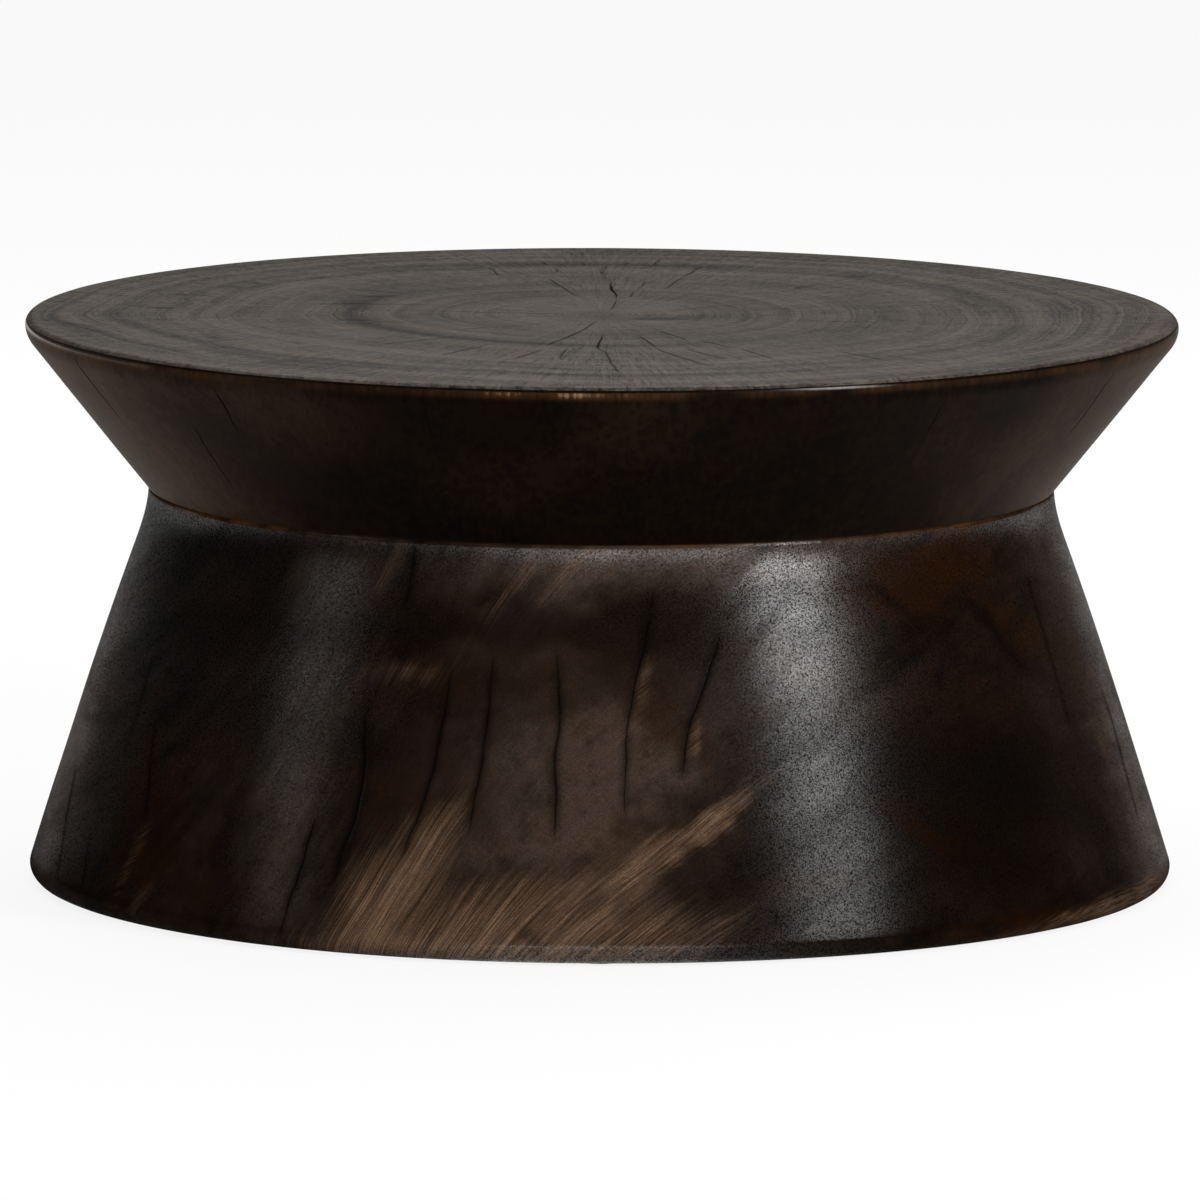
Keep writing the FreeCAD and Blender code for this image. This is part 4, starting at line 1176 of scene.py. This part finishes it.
def long_grain(colours):
    """Blotchy stained long grain: black clouds, brown, rust and golden strands, under a lacquer
    that follows the pimpled grain, and bare gouged wood inside the hollow."""
    f = Finish("long_grain_espresso")
    gold, rust, dark, pale = (f.stored(name) for name in ("gold", "rust", "dark", "pale"))
    rubbed, hollow, shine = (f.stored(name) for name in ("rubbed", "hollow", "shine"))
    check, lift = f.stored("check"), f.upright(f.stored("strand"))
    outside = f.rest(hollow)

    def along(around, rise, across, detail, roughness, distortion=0.0):
        """Noise drawn out along the strands: its scale round the table, up it and across a
        strand."""
        flow = f.vector("ADD", f.stretched((around, around, rise)),
                        f.stretched((0.0, 0.0, across), lift))
        return f.noise(flow, 1.0, detail, roughness, distortion)

    def ragged(patch, tear, low, high):
        """A stored patch whose edge is torn along the strands."""
        return f.product(f.spread(f.total(patch, tear), low, high), f.spread(patch, 0.02, 0.20))

    hairs = along(26.0, 0.0, 0.60, 3.0, 0.70)
    locks = along(15.0, 0.0, 0.10, 4.0, 0.72)
    smear = along(7.0, 0.0, 0.030, 5.0, 0.66, 0.5)
    worm = along(720.0, 620.0, 0.16, 2.0, 0.6, 0.5)
    cloud = f.grain((9.0, 9.0, 12.0), 5.0, 0.62, 0.6)
    raw_grain = f.grain((120.0, 120.0, 16.0), 4.0, 0.6)
    mottle = f.noise(f.place, 60.0, 4.0, 0.65)
    ridge = f.spread(worm, 0.38, 0.60)
    torn = f.total(f.swing(smear, 1.1), f.swing(mottle, 0.7))
    feather = f.total(f.swing(locks, 0.55), f.swing(hairs, 0.45))

    depth = f.total(f.product(cloud, 0.45), f.product(smear, 0.40), f.product(mottle, 0.30))
    worn = f.spread(f.total(mottle, f.product(smear, 0.8)), 0.62, 1.14, 0.45, 1.22)
    hue = f.spread(f.total(cloud, f.product(locks, 0.5)), 0.60, 0.88, 0.0, 0.45)
    # Pale stain, and painted sheen where the pale patches stand in for it.
    pale_stain_and_sheen = f.mix(hue, colours.base_pale, colours.base_tan)
    streaks = f.product(f.spread(locks, 0.32, 0.66, 0.52, 1.05),
                        f.spread(hairs, 0.34, 0.66, 0.14, 1.0))
    heavy = f.spread(f.total(cloud, f.product(smear, 0.6)), 0.55, 1.0, 0.55, 1.10)
    dense = f.product(ragged(dark, torn, 0.02, 1.05), heavy, clamp=True)
    fibre = f.product(f.spread(hairs, 0.35, 0.60, 0.16, 0.0), outside)
    bared = f.product(rubbed, f.spread(mottle, 0.35, 0.6, 0.3, 1.0), clamp=True)
    wood = f.layered(
        colours.base_black,
        (f.spread(depth, 0.44, 0.72), colours.base_brown),
        # pale patches: thin stain, and painted sheen at the flanks, under the left highlight and
        # below the waist
        (f.product(pale, worn, clamp=True), pale_stain_and_sheen),
        (f.product(ragged(rust, torn, 0.10, 0.80), worn, clamp=True), colours.base_rust),
        (f.product(ragged(gold, feather, -0.02, 1.05), streaks, clamp=True), colours.base_gold),
        (dense, colours.base_black),
        (fibre, colours.base_black),
        (f.spread(ridge, 0.0, 1.0, 0.36, 0.0), colours.base_black),
        (bared, colours.rubbed_edge),
        # painted shade in and beside the checks
        (check, colours.check_shade_black),
        (hollow, f.mix(raw_grain, colours.hollow_deep, colours.hollow_pale)))
    sound = f.product(outside, f.rest(check, clamp=True))
    polish = f.product(f.spread(ridge, 0.0, 1.0, 0.06, 0.80),
                       f.spread(smear, 0.36, 0.62, 0.60, 1.14),
                       f.spread(dense, 0.0, 1.0, 1.0, 0.60),
                       f.spread(rust, 0.0, 0.9, 1.0, 0.60), shine, sound)
    normal = f.relief(f.product(worm, outside), 0.00005)
    normal = f.relief(hairs, 0.00002, normal)
    normal = f.relief(f.product(raw_grain, hollow), 0.0006, normal)
    dull = f.spread(mottle, 0.3, 0.7, 0.55, 0.75)
    return f.surface(wood, dull, normal, colours.base_gloss, polish, Coat_Roughness=0.235,
                     Coat_IOR=1.5)


def zinc_plate(colours):
    """Zinc plated steel: blotched plating and fine drawn scratches."""
    f = Finish("zinc_plate")
    blotch = f.noise(f.place, 260.0, 3.0, 0.55)
    drawn = f.grain((1500.0, 1500.0, 160.0), 3.0, 0.6)
    metal = f.mix(f.total(f.product(blotch, 0.8), f.product(drawn, 0.3)),
                  shaded(colours.zinc, 0.72), colours.zinc)
    gloss = f.spread(blotch, 0.3, 0.7, 0.30, 0.46)
    return f.surface(metal, gloss, f.relief(drawn, 0.00002), Metallic=1.0)


def turned_brass(colours):
    """Machined brass: turning lines round the insert and a slight tarnish."""
    f = Finish("turned_brass")
    lines = f.grain((40.0, 40.0, 2600.0), 2.0, 0.5)
    stain = f.noise(f.place, 190.0, 4.0, 0.6)
    metal = f.mix(f.spread(stain, 0.35, 0.7), colours.brass, shaded(colours.brass, 0.6))
    gloss = f.spread(stain, 0.3, 0.7, 0.28, 0.45)
    return f.surface(metal, gloss, f.relief(lines, 0.00002), Metallic=1.0)


def plain_beech(colours):
    """Beech dowel: straight pale grain with short dark flecks."""
    f = Finish("plain_beech")
    grain = f.grain((700.0, 700.0, 24.0), 4.0, 0.6)
    fleck = f.spread(f.grain((1100.0, 1100.0, 160.0), 2.0, 0.5), 0.6, 0.68)
    dark = shaded(colours.beech, 0.66)
    wood = f.layered(dark, (grain, colours.beech), (f.product(fleck, 0.5), dark))
    return f.surface(wood, 0.62, f.relief(grain, 0.00008))


def moulded_nylon(colours):
    """Moulded black nylon: fine spark grain and a little dust in it."""
    f = Finish("moulded_nylon")
    spark = f.noise(f.place, 2600.0, 2.0, 0.5)
    dust = f.noise(f.place, 140.0, 4.0, 0.6)
    plastic = f.mix(f.spread(dust, 0.5, 0.8), colours.nylon, shaded(colours.nylon, 1.9))
    return f.surface(plastic, f.spread(dust, 0.3, 0.7, 0.48, 0.62), f.relief(spark, 0.00004))


def pressed_felt(colours):
    """Pressed felt: crossing fibres, lighter tufts and a soft sheen."""
    f = Finish("pressed_felt")
    fibre = f.noise(f.place, 1500.0, 5.0, 0.75, 1.6)
    tuft = f.noise(f.place, 320.0, 3.0, 0.6)
    cloth = f.mix(f.total(f.product(fibre, 0.6), f.product(tuft, 0.4)), colours.felt,
                  shaded(colours.felt, 2.0))
    return f.surface(cloth, 0.95, f.relief(fibre, 0.0003), Sheen_Weight=0.25,
                     Sheen_Roughness=0.5)


FLOOR_GLOW = 0.86      # share of white that camera and mirror rays find on the floor


def pale_floor(colours):
    """Pale floor that keeps the table's shadow and shows pale to camera and mirror rays."""
    f = Finish("pale_floor")
    tint = f.mix(f.noise(f.place, 2.0, 2.0, 0.5), shaded(colours.floor, 0.985), colours.floor)
    lit = f.node("ShaderNodeBsdfDiffuse", Color=tint)
    glow = f.node("ShaderNodeEmission", Color=(1.0, 1.0, 1.0), Strength=1.0)
    rays = f.tree.nodes.new("ShaderNodeLightPath").outputs
    seen = f.math("MAXIMUM", rays["Is Camera Ray"], rays["Is Glossy Ray"])
    seen = f.math("MAXIMUM", seen, rays["Is Transmission Ray"])
    both = f.filled("ShaderNodeMixShader", (f.product(seen, FLOOR_GLOW), lit.outputs[0],
                                            glow.outputs[0]))
    f.tree.links.new(both.outputs[0], f.output.inputs["Surface"])
    return f.material


# ---------------------------------------------------------------- properties
def colour(name, text, value):
    return FloatVectorProperty(name=name, description=text, subtype="COLOR", size=3, min=0.0,
                               max=1.0, default=value)


def length(name, text, value):
    return FloatProperty(name=name, description=text, subtype="DISTANCE", unit="LENGTH",
                         default=value)


def number(name, text, value):
    return FloatProperty(name=name, description=text, default=value)


class DrumTableSizes(PropertyGroup):
    """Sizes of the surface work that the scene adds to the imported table."""
    top_columns: IntProperty(
        name="Top columns", description="Even columns round the upper section", default=560)
    base_columns: IntProperty(
        name="Base columns", description="Even columns round the lower section", default=600)
    unevenness: length("Unevenness", "Deepest dip left by hand finishing", 0.00055)
    check_depth: number("Check depth", "Depth of a drying check for its half width", 3.0)


class DrumTableColours(PropertyGroup):
    """Colours and gloss of the table's finishes."""
    end_grain_pale: colour("End grain, pale", "Palest stained end grain", (.087, .070, .055))
    end_grain_deep: colour("End grain, deep", "Darkest stained end grain", (.010, .008, .0065))
    cone_brown: colour("Cone, brown", "Palest long grain of the cone", (.0046, .0025, .0014))
    cone_deep: colour("Cone, deep", "Darkest long grain of the cone", (.0015, .0011, .0008))
    # Painted sheen: the paler brown laid over the cone's flanks.
    cone_flank_sheen: colour("Cone, flank", "Thinly stained long grain of the cone", (.039, .0218, .0104))
    base_black: colour("Base, black", "Black clouds in the stain", (.0018, .0011, .0007))
    base_brown: colour("Base, brown", "Ordinary stained long grain", (.0110, .0050, .0019))
    # Also laid as painted sheen at the flanks, under the left highlight and below the waist.
    base_pale: colour("Base, pale", "Thinly stained long grain", (.062, .041, .033))
    base_tan: colour("Base, tan", "Thinly stained grain, warmer", (.072, .038, .015))
    base_rust: colour("Base, rust", "Warm rubbed-through stain", (.0150, .0046, .0006))
    base_gold: colour("Base, gold", "Bare golden strands", (.35, .208, .120))
    rubbed_edge: colour("Rubbed edge", "Bare wood on rubbed edges", (.085, .036, .012))
    # Painted shade inside the drying checks and beside them.
    check_shade_black: colour("Check", "Inside of the drying checks", (.0012, .0010, .0009))
    hollow_pale: colour("Hollow, pale", "Bare wood in the hollow", (.20, .135, .08))
    hollow_deep: colour("Hollow, deep", "Darker bare wood in the hollow", (.12, .075, .042))
    zinc: colour("Zinc", "Plating on bolts, washers and screws", (.62, .62, .60))
    brass: colour("Brass", "Threaded inserts", (.72, .55, .27))
    beech: colour("Beech", "Dowels", (.62, .46, .29))
    nylon: colour("Nylon", "Glide cups", (.03, .03, .03))
    felt: colour("Felt", "Glide pads", (.10, .085, .07))
    floor: colour("Floor", "Studio floor", (.80, .80, .80))
    top_gloss: number("Top gloss", "Strength of the satin reflection", 0.035)
    cone_gloss: number("Cone gloss", "Strength of the cone's reflection", 0.012)
    cone_sheen: number("Cone sheen", "Strength of the cone's soft glow at the flanks", 0.03)
    base_gloss: number("Base gloss", "Strength of the bare wood's reflection", 0.0)


class DrumTableStage(PropertyGroup):
    """The camera and the lamps."""
    elevation: number("Elevation", "Camera above the horizon, degrees", 7.93)
    distance: length("Distance", "Camera from the table", 13.71)
    middle: length("Middle", "Height that the camera turns about", 0.2256)
    roll: number("Roll", "Camera roll, degrees", 0.22)
    lens: number("Lens", "Focal length, millimetres", 517.8)
    overhead: number("Overhead", "Strength of the overhead lamp", 2.2)
    right_softbox: number("Right softbox", "Its brightness", 12.5)
    left_softbox: number("Left softbox", "Its brightness", 2.2)
    front_softbox: number("Front softbox", "Its brightness", 2.6)
    back_softbox: number("Back softbox", "Its brightness", 7.5)
    horizon: number("Horizon", "Brightness of the band at the horizon", 0.12)
    sky: number("Sky", "Brightness overhead", 0.05)


# ---------------------------------------------------------------- the two wooden sections
CREASE = math.radians(44.0)            # edges sharper than this stay sharp


def finish_piece(piece, node):
    """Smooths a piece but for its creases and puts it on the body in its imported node's place."""
    piece.data.shade_smooth()
    piece.data.set_sharp_from_angle(angle=CREASE)
    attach(piece, BODY)
    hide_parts(node)


class DRUMTABLE_OT_upper_section(Operator):
    """Turn the upper section: end-grain disc, rounded rim, cone and spigot"""
    bl_idname = "drumtable.upper_section"
    bl_label = "Upper Section"

    def execute(self, context):
        piece = make_top(context.scene.drum_sizes)
        colours = context.scene.drum_colours
        finish_top(piece.data, end_grain(colours), cone_grain(colours))
        finish_piece(piece, "top_drum")
        return {"FINISHED"}


class DRUMTABLE_OT_lower_section(Operator):
    """Turn the lower section: flared drum, hollowed from below"""
    bl_idname = "drumtable.lower_section"
    bl_label = "Lower Section"

    def execute(self, context):
        piece = make_base(context.scene.drum_sizes)
        piece.data.materials.clear()
        piece.data.materials.append(long_grain(context.scene.drum_colours))
        finish_piece(piece, "base_drum")
        return {"FINISHED"}


# ---------------------------------------------------------------- hardware
HARDWARE = {
    "joint_bolt": zinc_plate,
    "joint_washer": zinc_plate,
    "glide_screw": zinc_plate,
    "threaded_insert": turned_brass,
    "locating_dowel": plain_beech,
    "glide_cup": moulded_nylon,
    "glide_felt": pressed_felt,
}


class DRUMTABLE_OT_hardware(Operator):
    """Give bolts, washers, inserts, dowels and glides their finishes"""
    bl_idname = "drumtable.hardware"
    bl_label = "Joint Hardware and Glides"

    def execute(self, context):
        made = {}
        for stem, maker in HARDWARE.items():
            if maker not in made:
                made[maker] = maker(context.scene.drum_colours)
            for name in nodes_named(stem):
                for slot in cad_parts[name].material_slots:
                    slot.material = made[maker]
        return {"FINISHED"}


# ---------------------------------------------------------------- stage
FLOOR_RINGS = (0.9, 3.0, 12.0, 55.0)   # radii of the floor's rings, metres
FLOOR_SIDES = 96
LAMP_TARGET = (0.0, 0.0, 0.2)
# Azimuth from the camera's side, distance, height, width and height of each softbox.
SOFTBOXES = {
    "right_softbox": (47.5, 2.5, 1.38, 0.68, 1.70),
    "left_softbox": (-67.0, 2.2, 1.35, 0.5, 1.3),
    "front_softbox": (4.0, 3.0, 0.42, 3.0, 0.5),
    "back_softbox": (180.0, 3.2, 3.0, 2.4, 1.2),
}
SKY_STOPS = (0.0, 0.497, 0.503, 0.56, 0.66, 0.8, 1.0)    # places up the world, nadir to zenith
BELOW_HORIZON = 0.97
LOOK_LEFT, LOOK_BELOW = 0.0007, 0.0034         # how far the camera looks past its turning point


def aim(item, place, target):
    """Puts a lamp or camera at a place, with its -Z pointing at the target."""
    item.location = place
    item.rotation_mode = "QUATERNION"
    item.rotation_quaternion = (Vector(target) - Vector(place)).to_track_quat("-Z", "Y")


def lay_floor(colours):
    """The floor: rings round the table's axis, closed by a fan in the middle."""
    turn = np.arange(FLOOR_SIDES) * FULL_TURN / FLOOR_SIDES
    rings = turned(np.array(FLOOR_RINGS)[:, None], 0.0, turn) / MM
    quads, fans = turned_faces(len(FLOOR_RINGS), FLOOR_SIDES)
    points = np.concatenate([rings, np.zeros((2, 3))])
    floor = add_object("floor", mesh_from("floor", points, quads, fans[:FLOOR_SIDES]))
    floor.data.materials.append(pale_floor(colours))


def hang_overhead(strength):
    """A wide sun from straight above, leaning a little from the far side."""
    sun = bpy.data.lights.new("overhead", "SUN")
    sun.energy = strength
    sun.angle = math.radians(70.0)
    high = add_object("overhead", sun)
    high.location = (0.0, 0.0, 4.0)
    high.rotation_euler = (math.radians(-8.0), 0.0, 0.0)


def softbox(name, brightness, azimuth, distance, height, width, tall):
    """A rectangular lamp standing off the table at an azimuth from the camera's side.

    Its power is brightness times its area times pi.
    """
    lamp = bpy.data.lights.new(name, "AREA")
    lamp.shape = "RECTANGLE"
    lamp.size, lamp.size_y = width, tall
    lamp.energy = brightness * width * tall * math.pi
    angle = math.radians(azimuth)
    stand = add_object(name, lamp)
    aim(stand, (distance * math.sin(angle), -distance * math.cos(angle), height), LAMP_TARGET)
    stand.visible_camera = False


def studio_world(scene, horizon, sky):
    """A world of greys by height: pale under the horizon, dim over it and dimmer overhead."""
    world = bpy.data.worlds.new("studio")
    scene.world = world
    world.use_nodes = True
    tree = world.node_tree
    tree.nodes.clear()
    place, split, shift, ramp, back, out = (tree.nodes.new(kind) for kind in (
        "ShaderNodeTexCoord", "ShaderNodeSeparateXYZ", "ShaderNodeMath", "ShaderNodeValToRGB",
        "ShaderNodeBackground", "ShaderNodeOutputWorld"))
    shift.operation = "MULTIPLY_ADD"
    shift.inputs[1].default_value = 0.5
    shift.inputs[2].default_value = 0.5
    for output, socket in ((place.outputs["Generated"], split.inputs[0]),
                           (split.outputs["Z"], shift.inputs[0]),
                           (shift.outputs[0], ramp.inputs[0]),
                           (ramp.outputs[0], back.inputs["Color"]),
                           (back.outputs[0], out.inputs["Surface"])):
        tree.links.new(output, socket)
    levels = (BELOW_HORIZON, BELOW_HORIZON, horizon, horizon * 0.8, sky * 1.6, sky, sky)
    elements = ramp.color_ramp.elements
    elements[0].position, elements[1].position = SKY_STOPS[0], SKY_STOPS[-1]
    for position in SKY_STOPS[1:-1]:
        elements.new(position)
    for element, position, level in zip(elements, SKY_STOPS, levels):
        element.position = position
        element.color = (level, level, level, 1.0)


def stand_camera(scene, stage):
    """A long lens at the stage's elevation and distance, turned by its roll."""
    lens = bpy.data.cameras.new("camera")
    lens.lens = stage.lens
    lens.sensor_width = 36.0
    lens.clip_start, lens.clip_end = 0.1, 100.0
    camera = add_object("camera", lens)
    rise = math.radians(stage.elevation)
    place = (0.0, -stage.distance * math.cos(rise), stage.middle + stage.distance * math.sin(rise))
    aim(camera, place, (-LOOK_LEFT, 0.0, stage.middle - LOOK_BELOW))
    roll = Quaternion((0.0, 0.0, 1.0), math.radians(stage.roll))
    camera.rotation_quaternion = camera.rotation_quaternion @ roll
    scene.camera = camera


class DRUMTABLE_OT_stage(Operator):
    """Set up the floor, the soft lamps, the world and the camera"""
    bl_idname = "drumtable.stage"
    bl_label = "Stage"

    def execute(self, context):
        stage = context.scene.drum_stage
        lay_floor(context.scene.drum_colours)
        hang_overhead(stage.overhead)
        brightness = (stage.right_softbox, stage.left_softbox, stage.front_softbox,
                      stage.back_softbox)
        for (name, sizes), own in zip(SOFTBOXES.items(), brightness):
            softbox(name, own, *sizes)
        studio_world(context.scene, stage.horizon, stage.sky)
        stand_camera(context.scene, stage)
        context.scene.view_settings.view_transform = "Standard"
        return {"FINISHED"}


class DRUMTABLE_PT_panel(Panel):
    """Lists the table's sizes, colours and steps"""
    bl_label = "Drum Table"
    bl_idname = "DRUMTABLE_PT_panel"
    bl_space_type = "VIEW_3D"
    bl_region_type = "UI"
    bl_category = "Drum Table"

    def draw(self, context):
        layout = self.layout
        for step in STEPS:
            layout.operator(step.bl_idname)
        for group in (context.scene.drum_sizes, context.scene.drum_colours,
                      context.scene.drum_stage):
            column = layout.column(align=True)
            for name in group.__annotations__:
                column.prop(group, name)


STEPS = (DRUMTABLE_OT_stage, DRUMTABLE_OT_upper_section, DRUMTABLE_OT_lower_section,
         DRUMTABLE_OT_hardware)
CLASSES = (DrumTableSizes, DrumTableColours, DrumTableStage, *STEPS, DRUMTABLE_PT_panel)


def register():
    for item in CLASSES:
        bpy.utils.register_class(item)
    bpy.types.Scene.drum_sizes = PointerProperty(type=DrumTableSizes)
    bpy.types.Scene.drum_colours = PointerProperty(type=DrumTableColours)
    bpy.types.Scene.drum_stage = PointerProperty(type=DrumTableStage)


def unregister():
    del bpy.types.Scene.drum_stage
    del bpy.types.Scene.drum_colours
    del bpy.types.Scene.drum_sizes
    for item in reversed(CLASSES):
        bpy.utils.unregister_class(item)


def main():
    register()
    bpy.ops.drumtable.stage()
    bpy.ops.drumtable.upper_section()
    bpy.ops.drumtable.lower_section()
    bpy.ops.drumtable.hardware()


if __name__ == "__main__":
    main()
